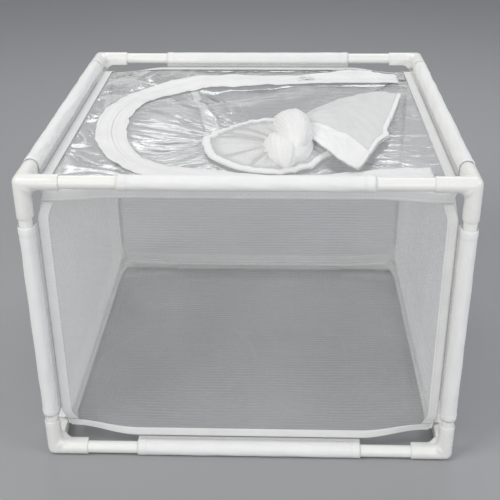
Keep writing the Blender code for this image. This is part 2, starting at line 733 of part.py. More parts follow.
def make_tail(collection, knot_cut, finish):
    """The loose end of the sleeve, flattened, which fans out from the knot over the ring to the roof."""
    tail = bmesh.new()
    rings = []
    for step in range(TAIL_STEPS + 1):
        share = step / TAIL_STEPS
        back = bezier(TAIL_BACK_EDGE, share)
        front = bezier(TAIL_FRONT_EDGE, share)
        half = (TAIL_ROOT_THICKNESS + (TAIL_HEM_THICKNESS - TAIL_ROOT_THICKNESS) * share**TAIL_TAPER) / 2
        ring = []
        for index in range(TAIL_SIDES):
            angle = 2 * math.pi * index / TAIL_SIDES
            across = (1 - math.cos(angle)) / 2
            wave = TAIL_WAVE * share * math.sin(2 * math.pi * TAIL_WAVES * across)
            place = RING_CENTRE + front.lerp(back, across)
            place.z += RING_TOP + half * math.sin(angle) + max(0.0, wave)
            ring.append(tail.verts.new(place))
        rings.append(ring)
    for ring, following in zip(rings, rings[1:]):
        for index in range(len(ring)):
            after = (index + 1) % len(ring)
            tail.faces.new((ring[index], ring[after], following[after], following[index]))
    tail.faces.new(rings[0])
    tail.faces.new(rings[-1])
    bmesh.ops.recalc_face_normals(tail, faces=tail.faces)
    mesh = mesh_from_bmesh("sleeve_tail", tail)
    solid = new_object("sleeve_tail", mesh, collection, finish)
    smooth(mesh)
    boolean_object(solid, "DIFFERENCE", knot_cut)
    return solid


def hang(pieces, parent):
    """Parents the pieces where they are, so that they turn about the parent's origin."""
    bpy.context.view_layer.update()
    for piece in pieces:
        piece.parent = parent
        piece.matrix_parent_inverse = parent.matrix_world.inverted()


def main():
    clear_scene()
    parts = new_collection("butterfly_habitat")
    cutters = new_collection("cutters")
    pvc = material("white_pvc", (0.85, 0.85, 0.84), 0.3)
    net = material("white_netting", (0.85, 0.85, 0.85), 0.8, 0.5)
    film = material("clear_film", (0.8, 0.82, 0.82), 0.1, 0.3)
    cloth = material("white_cloth", (0.88, 0.88, 0.88), 0.7)
    nylon = material("white_nylon", (0.8, 0.8, 0.8), 0.4)
    enamel = material("white_enamel", (0.82, 0.82, 0.82), 0.3)
    make_elbows(parts, pvc)
    make_tubes(parts, pvc)
    make_pole_sleeves(parts, cloth)
    for name, axis, sign in (
        ("floor_net", "Z", -1),
        ("front_net", "Y", -1),
        ("back_net", "Y", 1),
        ("left_net", "X", -1),
        ("right_net", "X", 1),
    ):
        make_panel(name, axis, sign, parts, net)
    make_level_binding("binding_top", 1, parts, cloth)
    make_level_binding("binding_bottom", -1, parts, cloth)
    for back, depth in ((-1, "front"), (1, "back")):
        for right, side in ((-1, "left"), (1, "right")):
            make_upright_binding(f"binding_{depth}_{side}", right, back, parts, cloth)
    make_roof(parts, cutters, film)
    door_hinge = new_object("door_hinge", None, parts)
    door_hinge.location = (HINGE_X, 0, ROOF_Z)
    knot = knot_solid("sleeve_knot", parts, cutters, 0.0, cloth)
    knot_cut = knot_solid("knot_cut", cutters, cutters, SEAT_GAP)
    hide_helper(knot_cut)
    access_sleeve = [
        make_ring(parts, cloth),
        make_skirt(parts, knot_cut, cloth),
        knot,
        make_tail(parts, knot_cut, cloth),
    ]
    slider = make_slider(parts, cutters, enamel)
    hang([make_door(parts, film), *make_zip(parts, cloth, nylon), *access_sleeve, slider], door_hinge)
    hang([make_pull(parts, enamel)], slider)


main()
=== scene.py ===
# %% [markdown]
# # A butterfly habitat of netting, hung in a frame of white pipe
#
# The object is a box of fine white netting with a roof of clear film. Cloth sleeves sewn to its seams
# hang it inside a frame of thin plastic pipe and three-way corner fittings. A horseshoe zip opens the
# roof, and a cloth sleeve in the roof, tied in a knot, lets a hand in.
#
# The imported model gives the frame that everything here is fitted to. Its hard and soft solids are
# replaced one by one with finer pieces, each built in mesh code, and given a finish made of nodes.

import math

import bmesh
import bpy
from mathutils import Matrix, Vector, noise


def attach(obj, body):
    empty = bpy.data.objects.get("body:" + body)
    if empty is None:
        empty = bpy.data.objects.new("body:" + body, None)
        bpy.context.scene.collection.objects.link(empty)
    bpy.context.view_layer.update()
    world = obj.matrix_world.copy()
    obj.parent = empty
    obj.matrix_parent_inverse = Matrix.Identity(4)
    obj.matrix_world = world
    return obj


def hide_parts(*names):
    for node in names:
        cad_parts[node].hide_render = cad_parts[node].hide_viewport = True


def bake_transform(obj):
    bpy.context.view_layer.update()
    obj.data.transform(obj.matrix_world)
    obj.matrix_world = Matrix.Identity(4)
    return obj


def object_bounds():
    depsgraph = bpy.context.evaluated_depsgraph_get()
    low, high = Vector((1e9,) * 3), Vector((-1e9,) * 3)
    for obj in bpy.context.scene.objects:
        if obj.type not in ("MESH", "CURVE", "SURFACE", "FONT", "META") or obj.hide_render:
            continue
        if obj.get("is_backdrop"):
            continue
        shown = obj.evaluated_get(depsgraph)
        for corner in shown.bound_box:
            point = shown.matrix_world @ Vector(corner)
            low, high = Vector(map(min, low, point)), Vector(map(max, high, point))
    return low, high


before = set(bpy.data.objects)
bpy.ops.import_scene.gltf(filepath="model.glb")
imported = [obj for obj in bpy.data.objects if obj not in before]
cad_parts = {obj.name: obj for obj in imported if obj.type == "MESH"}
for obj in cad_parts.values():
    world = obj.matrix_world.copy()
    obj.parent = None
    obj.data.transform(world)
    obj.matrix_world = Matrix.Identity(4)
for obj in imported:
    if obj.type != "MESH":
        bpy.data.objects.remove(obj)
cad_low, cad_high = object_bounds()
print("solids' box in mm:", [round(1000 * size) for size in cad_high - cad_low])

# %% [markdown]
# ## Measures
#
# Everything hangs on the centre lines of the pipes. The cage's seams run a little inside them, joined to
# the pipes by the cloth sleeves. These values are the sizes of the solids, in metres, so that each new
# piece lands where its solid is. The last three lists pair the sign of a side with its name.

# %% The sizes that the pieces share
AXIS_OUT = 0.1929
AXIS_LOW = 0.0071
AXIS_HIGH = 0.2929
PIPE_RADIUS = 0.006
PIPE_WALL = 0.0012
FITTING_RADIUS = 0.0071
SOCKET_RADIUS = 0.0063
SOCKET_FLOOR = 0.0084
FITTING_LEG = 0.0334
SEAM_INSET = 0.008273
PANEL_INSET = 0.009573
BINDING_END = 0.018073
CORNER_DRAW = 0.0065
CORNER_TURN = {"X": 0.083, "Y": 0.028, "Z": 0.041}
SLEEVE_HALF = {"X": 0.1099, "Y": 0.1559, "Z": 0.1019}
AXIS_MIDDLE = (AXIS_LOW + AXIS_HIGH) / 2
UP_HALF = (AXIS_HIGH - AXIS_LOW) / 2
ROOF = AXIS_HIGH - PANEL_INSET
LEVELS = ((-1, "bottom", AXIS_LOW), (1, "top", AXIS_HIGH))
ENDS = ((-1, "front"), (1, "back"))
SIDES = ((-1, "left"), (1, "right"))
print("cage, outside, in mm:", round(2000 * (AXIS_OUT - SEAM_INSET)), "wide")

# %% [markdown]
# ## Colours and nodes
#
# Colours are written as the sRGB hex values that a paint or photo program shows, and turned to the linear
# values that the renderer works in. One small function adds a node with its settings and its links, so
# that a material reads as a list of what it is made of. A link that names a node takes its first output.


# %% Helpers for materials
def linear(code):
    channels = [int(code[place : place + 2], 16) / 255 for place in (0, 2, 4)]
    return (*[c / 12.92 if c <= 0.04045 else ((c + 0.055) / 1.055) ** 2.4 for c in channels], 1.0)


def connect(tree, source, socket):
    if isinstance(source, bpy.types.Node):
        source = next(output for output in source.outputs if output.enabled)
    tree.links.new(source, socket)


def add_node(tree, kind, settings=None, links=None):
    """Adds a node. A setting whose key is an input sets that input, and any other sets a property."""
    node = tree.nodes.new("ShaderNode" + kind)
    for key, value in (settings or {}).items():
        if isinstance(key, int) or key in node.inputs:
            node.inputs[key].default_value = value
        else:
            setattr(node, key, value)
    for key, source in (links or {}).items():
        connect(tree, source, node.inputs[key])
    return node


def new_finish(name, roughness, ior=1.5):
    finish = bpy.data.materials.new(name)
    finish.use_nodes = True
    tree = finish.node_tree
    shader = tree.nodes["Principled BSDF"]
    shader.inputs["Roughness"].default_value = roughness
    shader.inputs["IOR"].default_value = ior
    return finish, tree, shader


# %% [markdown]
# ## White PVC of the pipes and fittings
#
# The pipes are extruded from unplasticised PVC and the corner fittings are moulded from it. Extruding
# leaves faint lines along a pipe, and moulding a faint orange peel. Both are a slightly warm white with a
# satin gloss, which shows as one soft highlight along each pipe.

# %% Moulded and extruded PVC
PVC_IOR = 1.53
moulded_pvc, tree, shader = new_finish("moulded_pvc", 0.3, PVC_IOR)
place = add_node(tree, "TexCoord").outputs["Object"]
cloudy = add_node(tree, "TexNoise", {"Scale": 1000 / 14, "Detail": 3.0}, {"Vector": place})
tones = {"data_type": "RGBA", 6: linear("F5F5F2"), 7: linear("E7E7E3")}
connect(tree, add_node(tree, "Mix", tones, {0: cloudy}), shader.inputs["Base Color"])
gloss_range = {"From Min": 0.3, "From Max": 0.7, "To Min": 0.24, "To Max": 0.38}
connect(tree, add_node(tree, "MapRange", gloss_range, {"Value": cloudy}), shader.inputs["Roughness"])
peel = add_node(tree, "TexNoise", {"Scale": 1000 / 1.4, "Detail": 2.0}, {"Vector": place})
bump = add_node(tree, "Bump", {"Strength": 0.25, "Distance": 0.00006}, {"Height": peel})
connect(tree, bump, shader.inputs["Normal"])

extruded_pvc, tree, shader = new_finish("extruded_pvc", 0.26, PVC_IOR)
along_pipe = add_node(tree, "UVMap", {"uv_map": "flat"})
drawn = add_node(tree, "Mapping", {"Scale": (1000 / 0.8, 1000 / 60, 1.0)}, {"Vector": along_pipe})
lines = add_node(tree, "TexNoise", {"Scale": 1.0, "Detail": 3.0}, {"Vector": drawn})
tones = {"data_type": "RGBA", 6: linear("F6F6F3"), 7: linear("ECECE8")}
connect(tree, add_node(tree, "Mix", tones, {0: lines}), shader.inputs["Base Color"])
gloss_range = {"From Min": 0.3, "From Max": 0.7, "To Min": 0.2, "To Max": 0.34}
connect(tree, add_node(tree, "MapRange", gloss_range, {"Value": lines}), shader.inputs["Roughness"])
bump = add_node(tree, "Bump", {"Strength": 0.2, "Distance": 0.00005}, {"Height": lines})
connect(tree, bump, shader.inputs["Normal"])
print("PVC finishes:", moulded_pvc.name, extruded_pvc.name)

# %% [markdown]
# ## Cloth finishes
#
# The pole sleeves and bindings are plain-woven polyester, and the zip's tape is a denser weave with ribs
# along it. Both weaves are finer than a pixel here, so they are drawn about three times too coarse. Rows
# of stitches follow the UV map: each piece's map says how far a point is along and across the cloth.
# Cloth is rough, with a weak sheen from its fibres. The pole sleeves and the voile are thin: they look
# white where a pipe or another layer backs them, and grey where nothing does, as at a sleeve's neck. The
# mesh stores how well each point is backed, as a number named "doubled", and the finish reads it.

# %% A woven cloth, with rows of stitches at given places across it
STITCH = 0.0032
STITCH_GAP = 0.0004
ROW_WIDTH = 0.0008
# At this scale a wave texture draws about one band to a unit.
BAND_PER_UNIT = 0.3183


def woven(name, tones, weave_mm, stitch_rows, soft_folds, cover=1.0):
    """Cloth with threads weave_mm apart, which cover a share of what is behind it."""
    finish, tree, shader = new_finish(name, 0.8)
    shader.inputs["Sheen Weight"].default_value = 0.25
    shader.inputs["Sheen Roughness"].default_value = 0.4
    cloth = add_node(tree, "UVMap", {"uv_map": "flat"})
    body = add_node(tree, "TexCoord").outputs["Object"]
    count = (1000 / weave_mm[0], 1000 / weave_mm[1], 1.0)
    weave = add_node(tree, "Mapping", {"Scale": count}, {"Vector": cloth})
    bands = []
    for way in "XY":
        wave = {"bands_direction": way, "Scale": BAND_PER_UNIT}
        bands.append(add_node(tree, "TexWave", wave, {"Vector": weave}).outputs[1])
    threads = add_node(tree, "Math", {"operation": "MULTIPLY"}, {0: bands[0], 1: bands[1]})
    cloudy = add_node(tree, "TexNoise", {"Scale": 1000 / 22, "Detail": 4.0}, {"Vector": body})
    two_tones = {"data_type": "RGBA", 6: linear(tones[0]), 7: linear(tones[1])}
    colour = add_node(tree, "Mix", two_tones, {0: cloudy})
    folds = add_node(tree, "TexNoise", {"Scale": 1000 / 9, "Detail": 2.0}, {"Vector": body})
    folds = add_node(tree, "Math", {"operation": "MULTIPLY", 1: soft_folds}, {0: folds})
    height = add_node(tree, "Math", {"operation": "MULTIPLY_ADD", 1: 0.12}, {0: threads, 2: folds})
    across = add_node(tree, "SeparateXYZ", {}, {0: cloth})
    for row in stitch_rows:
        away = add_node(tree, "Math", {"operation": "SUBTRACT", 1: row}, {0: across.outputs[0]})
        away = add_node(tree, "Math", {"operation": "ABSOLUTE"}, {0: away})
        fading = {"From Max": ROW_WIDTH, "To Min": 1.0, "To Max": 0.0}
        groove = add_node(tree, "MapRange", fading, {"Value": away})
        step = add_node(tree, "Math", {"operation": "PINGPONG", 1: STITCH / 2}, {0: across.outputs[1]})
        shown = add_node(tree, "Math", {"operation": "GREATER_THAN", 1: STITCH_GAP}, {0: step})
        thread = add_node(tree, "Math", {"operation": "MULTIPLY"}, {0: groove, 1: shown})
        height = add_node(tree, "Math", {"operation": "MULTIPLY_ADD", 1: -0.5}, {0: groove, 2: height})
        height = add_node(tree, "Math", {"operation": "MULTIPLY_ADD", 1: 0.35}, {0: thread, 2: height})
        # Where no thread shows, the groove is mixed toward grey: painted shade in the stitch groove.
        painted_groove_shade = add_node(tree, "Math", {"operation": "SUBTRACT"}, {0: groove, 1: thread})
        colour = add_node(tree, "Mix", {"data_type": "RGBA", 7: linear("D8D8D7")}, {0: painted_groove_shade, 6: colour})
    connect(tree, colour, shader.inputs["Base Color"])
    bump = add_node(tree, "Bump", {"Strength": 0.6, "Distance": 0.0006}, {"Height": height})
    connect(tree, bump, shader.inputs["Normal"])
    if cover < 1:
        reach = {"To Min": cover - 0.12, "To Max": cover + 0.12}
        gaps = add_node(tree, "MapRange", reach, {"Value": threads})
        doubled = add_node(tree, "Attribute", {"attribute_name": "doubled"}).outputs["Fac"]
        layers = {"operation": "MULTIPLY_ADD", "use_clamp": True, 1: 0.35}
        connect(tree, add_node(tree, "Math", layers, {0: doubled, 2: gaps}), shader.inputs["Alpha"])
    return finish


WEAVE_MM = (0.9, 0.9)
VOILE_MM = (0.8, 0.8)
polyester_cloth = woven("woven_polyester", ("F5F5F4", "E9E9E8"), WEAVE_MM, (0.0085,), 0.25, 0.36)
binding_cloth = woven("bound_polyester", ("F3F3F2", "E4E4E3"), WEAVE_MM, (0.0018, 0.0156), 0.3)
zip_cloth = woven("zip_tape_polyester", ("F6F6F5", "E4E4E3"), (1.6, 4.0), (0.0046, 0.0128), 0.25)
skirt_voile = woven("gathered_voile", ("F2F2F1", "E2E2E1"), VOILE_MM, (), 0.4, 0.5)
voile = woven("polyester_voile", ("F8F8F7", "ECECEB"), VOILE_MM, (), 0.4, 0.78)
knotted_voile = woven("knotted_voile", ("F2F2F1", "E4E4E3"), VOILE_MM, (), 0.4)
hemmed_voile = woven("hemmed_voile", ("F6F6F5", "ECECEB"), VOILE_MM, (), 0.5)
print("cloth finishes:", polyester_cloth.name, binding_cloth.name, zip_cloth.name, voile.name)

# %% [markdown]
# ## Netting
#
# The cage is knitted polyester insect netting, about 0.6 mm from thread to thread. It is drawn at 1.2 mm,
# still fine enough to read as a veil. Some rows are knitted tighter and show as fine lines across, and
# long soft creases from the packet run over them, drawn on the contour line of a broad noise.
#
# The holes are a mix with a Transparent shader and not in the mesh: one real hole each would be some
# 300,000 of them on every side. Half of the light that meets a thread comes out on its far side, which a
# Translucent shader gives. The left and right sides are seen at a low angle in the photo, where netting
# looks dense, so theirs covers more.

# %% Insect netting
NET_PITCH_MM = 1.2


def netting(name, cover, row_mm, row_cover, cloud_mm):
    """Knitted netting that covers a share of what is behind it. Its tighter rows cover a little more."""
    finish, tree, shader = new_finish(name, 0.75)
    cloth = add_node(tree, "UVMap", {"uv_map": "flat"})
    body = add_node(tree, "TexCoord").outputs["Object"]
    count = (1000 / NET_PITCH_MM, 1000 / NET_PITCH_MM, 1.0)
    meshes = add_node(tree, "Mapping", {"Scale": count}, {"Vector": cloth})
    axes = add_node(tree, "SeparateXYZ", {}, {0: meshes})
    first = add_node(tree, "Math", {"operation": "PINGPONG", 1: 0.5}, {0: axes.outputs[0]})
    second = add_node(tree, "Math", {"operation": "PINGPONG", 1: 0.5}, {0: axes.outputs[1]})
    inside = add_node(tree, "Math", {"operation": "MINIMUM"}, {0: first, 1: second})
    threads = {"From Min": 0.3, "From Max": 0.06, "To Min": cover - 0.1, "To Max": cover + 0.14}
    thread = add_node(tree, "MapRange", threads, {"Value": inside})
    rows = add_node(tree, "Mapping", {"Scale": (14.0, 1000 / row_mm, 1.0)}, {"Vector": cloth})
    wavy = {"bands_direction": "Y", "Scale": BAND_PER_UNIT}
    wavy |= {"Distortion": 0.7, "Detail": 2.0, "Detail Scale": 0.6}
    row = add_node(tree, "TexWave", wavy, {"Vector": rows}).outputs[1]
    row = add_node(tree, "Math", {"operation": "MULTIPLY_ADD", 1: row_cover}, {0: row, 2: thread})
    size = tuple(1000 / length for length in cloud_mm)
    clouds = add_node(tree, "Mapping", {"Scale": size}, {"Vector": body})
    cloudy = add_node(tree, "TexNoise", {"Scale": 1.0, "Detail": 3.0}, {"Vector": clouds})
    veil = {"From Min": 0.3, "From Max": 0.7, "To Min": -0.05, "To Max": 0.07}
    veil = add_node(tree, "MapRange", veil, {"Value": cloudy})
    pulled = add_node(tree, "TexNoise", {"Scale": 9.0, "Detail": 1.0, "Distortion": 0.6}, {"Vector": body})
    from_crease = add_node(tree, "Math", {"operation": "SUBTRACT", 1: 0.5}, {0: pulled})
    from_crease = add_node(tree, "Math", {"operation": "ABSOLUTE"}, {0: from_crease})
    line = {"From Min": 0.001, "From Max": 0.006, "To Min": 0.05, "To Max": 0.0}
    crease = add_node(tree, "MapRange", line, {"Value": from_crease})
    veil = add_node(tree, "Math", {"operation": "ADD"}, {0: veil, 1: crease})
    alpha = add_node(tree, "Math", {"operation": "ADD", "use_clamp": True}, {0: row, 1: veil})
    tones = {"data_type": "RGBA", 6: linear("F6F6F6"), 7: linear("E8E8E8")}
    colour = add_node(tree, "Mix", tones, {0: cloudy})
    connect(tree, colour, shader.inputs["Base Color"])
    bump = add_node(tree, "Bump", {"Strength": 0.15, "Distance": 0.0002}, {"Height": thread})
    connect(tree, bump, shader.inputs["Normal"])
    glow = add_node(tree, "BsdfTranslucent", {}, {"Color": colour})
    cloth_light = add_node(tree, "MixShader", {0: 0.5}, {1: shader, 2: glow})
    hole = add_node(tree, "BsdfTransparent")
    surface = add_node(tree, "MixShader", {}, {0: alpha, 1: hole, 2: cloth_light})
    connect(tree, surface, tree.nodes["Material Output"].inputs["Surface"])
    return finish


front_veil = netting("insect_netting_front", 0.19, 3.6, 0.02, (60, 60, 60))
floor_net = netting("insect_netting_floor", 0.15, 5.0, 0.24, (90, 26, 30))
back_net = netting("insect_netting_back", 0.25, 4.2, 0.17, (110, 30, 24))
side_net = netting("insect_netting_side", 0.9, 3.6, 0.03, (40, 16, 120))
print("netting with", round((10 / NET_PITCH_MM) ** 2), "holes in a square centimetre")

# %% [markdown]
# ## Clear film
#
# The roof is calendered plasticised PVC film, 0.2 to 0.3 mm thick, that was folded in its packet. It is
# clear, so most of each ray goes straight through. What shows is the gloss on its wrinkles, and white
# streaks along its creases and in long thin lines. These are partly the haze of the creased plastic and
# partly painted highlights, drawn for the bright lines that the wrinkles catch from the lamps. A
# Transparent shader, mixed with a Diffuse one for the white streaks and by Fresnel with a Glossy one,
# gives both and lets the lamps shine in. A Principled shader with transmission would darken all that is
# under it.

# %% Clear film
FILM_IOR = 1.54
STREAK_MM = (7.0, 90.0)
FLECK_MM = (3.0, 22.0)
clear_film = bpy.data.materials.new("clear_pvc_film")
clear_film.use_nodes = True
tree = clear_film.node_tree
tree.nodes.remove(tree.nodes["Principled BSDF"])
cloth = add_node(tree, "UVMap", {"uv_map": "flat"})
# The white streaks below are partly the film's haze at its creases and partly painted highlight.
haze_and_highlight_streaks = []
for size, low, high, most in ((STREAK_MM, 0.56, 0.78, 0.38), (FLECK_MM, 0.62, 0.74, 0.42)):
    stretched = add_node(tree, "Mapping", {"Scale": (1000 / size[0], 1000 / size[1], 1.0)}, {"Vector": cloth})
    look = {"Scale": 1.0, "Detail": 3.0, "Roughness": 0.55, "Distortion": 0.4}
    streak = add_node(tree, "TexNoise", look, {"Vector": stretched})
    reach = {"From Min": low, "From Max": high, "To Min": 0.0, "To Max": most}
    haze_and_highlight_streaks.append(add_node(tree, "MapRange", reach, {"Value": streak}))
haze_and_highlight_share = add_node(tree, "Math", {"operation": "ADD"}, {0: haze_and_highlight_streaks[0], 1: haze_and_highlight_streaks[1]})
haze_and_highlight_marks = add_node(tree, "Attribute", {"attribute_name": "crease_haze_and_highlight"}).outputs["Fac"]
haze_and_highlight_share = add_node(tree, "Math", {"operation": "MULTIPLY_ADD", 1: 0.6}, {0: haze_and_highlight_share, 2: haze_and_highlight_marks})
haze_and_highlight_share = add_node(tree, "Math", {"operation": "ADD", 1: 0.02}, {0: haze_and_highlight_share})
bump = add_node(tree, "Bump", {"Strength": 0.5, "Distance": 0.0009}, {"Height": streak})
mirror = add_node(tree, "Fresnel", {"IOR": FILM_IOR}, {"Normal": bump})
both_faces = add_node(tree, "Math", {"operation": "MULTIPLY", 1: 2.2, "use_clamp": True}, {0: mirror})
through = add_node(tree, "BsdfTransparent", {"Color": linear("F0F2F2")})
gloss = add_node(tree, "BsdfAnisotropic", {"Color": linear("FFFFFF"), "Roughness": 0.13}, {"Normal": bump})
haze_and_highlight_shader = add_node(tree, "BsdfDiffuse", {"Color": linear("F2F3F3")}, {"Normal": bump})
behind = add_node(tree, "MixShader", {}, {0: haze_and_highlight_share, 1: through, 2: haze_and_highlight_shader})
surface = add_node(tree, "MixShader", {}, {0: both_faces, 1: behind, 2: gloss})
connect(tree, surface, tree.nodes["Material Output"].inputs["Surface"])
print("film finish:", clear_film.name)

# %% [markdown]
# ## Nylon coil and enamelled slider
#
# The coil is extruded nylon wire, milky and satin. The slider and its pull are zinc castings with a
# baked white enamel, glossy, with a little wear that shows as a greyer tone.

# %% Nylon and enamel
nylon, tree, shader = new_finish("nylon_coil", 0.4, 1.53)
place = add_node(tree, "TexCoord").outputs["Object"]
milky = add_node(tree, "TexNoise", {"Scale": 1000 / 6}, {"Vector": place})
tones = {"data_type": "RGBA", 6: linear("F0F0EC"), 7: linear("E2E2DE")}
connect(tree, add_node(tree, "Mix", tones, {0: milky}), shader.inputs["Base Color"])

enamel, tree, shader = new_finish("enamelled_zinc", 0.22)
shader.inputs["Coat Weight"].default_value = 0.4
place = add_node(tree, "TexCoord").outputs["Object"]
spots = add_node(tree, "TexNoise", {"Scale": 1000 / 2.5, "Detail": 5.0}, {"Vector": place})
worn = add_node(tree, "MapRange", {"From Min": 0.5, "From Max": 0.72}, {"Value": spots})
tones = {"data_type": "RGBA", 6: linear("EBEBE9"), 7: linear("B9B9B6")}
connect(tree, add_node(tree, "Mix", tones, {0: worn}), shader.inputs["Base Color"])
gloss_range = {"From Min": 0.3, "From Max": 0.7, "To Min": 0.16, "To Max": 0.34}
connect(tree, add_node(tree, "MapRange", gloss_range, {"Value": spots}), shader.inputs["Roughness"])
print("hard finishes:", nylon.name, enamel.name)

# %% [markdown]
# ## From points to a piece
#
# Nearly every piece here is a loft: rows of points that are joined with faces. The same function writes
# the UV map, in metres along and across the flat cloth, which the weaves and stitches read.


# %% The loft, and what every piece gets
def new_object(name, data):
    obj = bpy.data.objects.new(name, data)
    bpy.context.scene.collection.objects.link(obj)
    return obj


def no_map(row, column):
    """For pieces whose finish reads no map."""
    return 0.0, 0.0


def loft(name, rows, flat=no_map, wrap=False, ring=False, *, finish):
    """Joins rows of points with faces. flat(row, column) gives a point's place on the flat cloth."""
    wide, long = len(rows[0]), len(rows)
    points = [point for row in rows for point in row]
    faces, places = [], []
    for i in range(long if ring else long - 1):
        after = (i + 1) % long
        for j in range(wide if wrap else wide - 1):
            beside = (j + 1) % wide
            faces.append((i * wide + j, i * wide + beside, after * wide + beside, after * wide + j))
            places.extend((flat(i, j), flat(i, j + 1), flat(i + 1, j + 1), flat(i + 1, j)))
    mesh = bpy.data.meshes.new(name)
    mesh.from_pydata(points, [], faces)
    uv_map = mesh.uv_layers.new(name="flat").uv
    uv_map.foreach_set("vector", [value for place in places for value in place])
    mesh.shade_smooth()
    mesh.materials.append(finish)
    return new_object(name, mesh)


def sharpen(mesh, degrees):
    """Shades a mesh smooth, but for edges that turn by more than this."""
    mesh.shade_smooth()
    mesh.set_sharp_from_angle(angle=math.radians(degrees))


def cap_ends(obj, wide):
    """Closes the two open ends of a wrapped loft."""
    work = bmesh.new()
    work.from_mesh(obj.data)
    work.verts.ensure_lookup_table()
    for first in (0, len(work.verts) - wide):
        work.faces.new([work.verts[i] for i in range(first, first + wide)])
    bmesh.ops.recalc_face_normals(work, faces=work.faces)
    work.to_mesh(obj.data)
    work.free()
    sharpen(obj.data, 50)


def thicken(obj, thickness):
    solid = obj.modifiers.new("Thickness", "SOLIDIFY")
    solid.thickness = thickness
    solid.offset = 0.0


def make_real(obj):
    """Turns what a piece's modifiers make of it into its own mesh."""
    graph = bpy.context.evaluated_depsgraph_get()
    graph.update()
    mesh = bpy.data.meshes.new_from_object(obj.evaluated_get(graph))
    obj.modifiers.clear()
    obj.data = mesh


def store(obj, name, values):
    """Stores a number at each point of a piece, for its finish to read."""
    obj.data.attributes.new(name, "FLOAT", "POINT").data.foreach_set("value", values)


def settle(obj, body, node):
    """Puts a finished piece on its body, in place of the solid that it stands for."""
    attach(obj, body)
    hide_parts(node)


# %% [markdown]
# The shapes below are sums of a few soft functions. Noise makes the bumps: what a place is multiplied by
# inside it is about how many bumps there are to a metre, or to a turn, and the last value is its seed.


# %% Soft steps, noise and rounded outlines
def smooth_step(value):
    """0 up to 0, 1 from 1 on, and a soft rise between."""
    held = min(1.0, max(0.0, value))
    return held * held * (3 - 2 * held)


def bumpy(x, y, z, seed):
    return noise.noise(Vector((x + 17.3 * seed, y - 9.1 * seed, z + 4.7 * seed)))


def bumpy_round(turn, count, along, seed):
    """The same noise round a closed line, so that its end meets its start."""
    return bumpy(count * math.cos(turn), count * math.sin(turn), along, seed)


def ridge(value):
    """Turns smooth noise into sharp crests: 1 on a crest, less away from it."""
    return 1 - min(1.0, 2.2 * abs(value))


def circle(count):
    """Angles in equal steps all the way round."""
    return [2 * math.pi * step / count for step in range(count)]


def squarish(turn, power):
    """A place on a rounded square that reaches 1 each way. The lower the power, the squarer it is."""
    return [math.copysign(abs(value) ** power, value) for value in (math.cos(turn), math.sin(turn))]


# %% [markdown]
# ## Three-way corner fittings
#
# A corner fitting is three sockets that meet in a rounded corner, with a fillet in each crotch that the
# mould leaves for strength. Joining cylinders with Boolean modifiers gives sharp crotches. Here each leg
# is a sheet of points, pushed out to the surface of three rods that melt together a little where they
# meet. Only the crotches bulge: on the outside no point goes past the sockets' radius, so the frame
# stands level. The leg is turned twice about the corner's diagonal to give the other two.

# %% One third of a fitting
FILLET = 0.009
AROUND = 48


def melted_rods(x, y, z):
    """How far a point is outside three rods that run from the corner along +X, +Y and +Z."""
    full = math.sqrt(x * x + y * y + z * z)
    apart = []
    for along, a, b in ((x, y, z), (y, x, z), (z, x, y)):
        apart.append((full if along < 0 else math.sqrt(a * a + b * b)) - FITTING_RADIUS)
    distance = min(apart)
    for one, two, first, second in ((0, 1, x, y), (1, 2, y, z), (0, 2, x, z)):
        width = FILLET * min(1.0, max(0.0, min(first, second) / FITTING_RADIUS))
        if width > 0:
            overlap = max(width - abs(apart[one] - apart[two]), 0.0) / width
            distance -= overlap * overlap * width / 4
    return distance


def rod_radius(along, across, up):
    """How far from a leg's axis its surface is: found in steps, and then by halving the last one."""
    found, step, farthest = 0.0, 0.0008, 0.03
    while found < farthest and melted_rods(along, found * across, found * up) < 0:
        found += step
    low, high = found - step, found
    for _ in range(18):
        middle = (low + high) / 2
        if melted_rods(along, middle * across, middle * up) < 0:
            low = middle
        else:
            high = middle
    return high


def leg_start(across, up):
    """Where along the leg its surface leaves the plane that it shares with the next leg."""
    lead = max(across, up)
    if lead < 0:
        return lead * FITTING_RADIUS / math.sqrt(1 + lead * lead)
    low, high = 0.0, FITTING_LEG
    for _ in range(24):
        middle = (low + high) / 2
        if middle < rod_radius(middle, across, up) * lead:
            low = middle
        else:
            high = middle
    return high


MOUTH_ROUND = 0.0006
BORE_START = 0.0002
ALONG_LEG = (0.0, 0.03, 0.08, 0.15, 0.24, 0.34, 0.46, 0.6, 0.8, 1.0)
OUTERMOST = -FITTING_RADIUS
columns = []
for turn in circle(AROUND):
    angle = math.pi / 4 + turn
    across, up = math.cos(angle), math.sin(angle)
    start = leg_start(across, up)
    column = []
    for share in ALONG_LEG:
        along = start + (FITTING_LEG - MOUTH_ROUND - start) * share
        column.append((along, rod_radius(along, across, up)))
    for rounding in (30, 60, 90):
        bend = math.radians(rounding)
        along = FITTING_LEG - MOUTH_ROUND * (1 - math.sin(bend))
        column.append((along, FITTING_RADIUS - MOUTH_ROUND * (1 - math.cos(bend))))
    column.append((FITTING_LEG - BORE_START, SOCKET_RADIUS))
    column += [(SOCKET_FLOOR, SOCKET_RADIUS), (SOCKET_FLOOR, 0.0)]
    columns.append([Vector((a, max(OUTERMOST, r * across), max(OUTERMOST, r * up))) for a, r in column])
print("one leg of a fitting has", len(columns) * len(columns[0]), "points")

# %% The eight fittings
corner_mesh = bmesh.new()
for turn in range(3):
    grid = []
    for column in columns:
        turned = [(point.x, point.y, point.z) for point in column]
        for _ in range(turn):
            turned = [(z, x, y) for x, y, z in turned]
        grid.append([corner_mesh.verts.new(point) for point in turned])
    for one, two in zip(grid, grid[1:] + grid[:1]):
        for i in range(len(one) - 1):
            corner_mesh.faces.new((one[i], one[i + 1], two[i + 1], two[i]))
bmesh.ops.remove_doubles(corner_mesh, verts=corner_mesh.verts, dist=0.00001)
bmesh.ops.recalc_face_normals(corner_mesh, faces=corner_mesh.faces)
fitting = bpy.data.meshes.new("fitting")
corner_mesh.to_mesh(fitting)
corner_mesh.free()

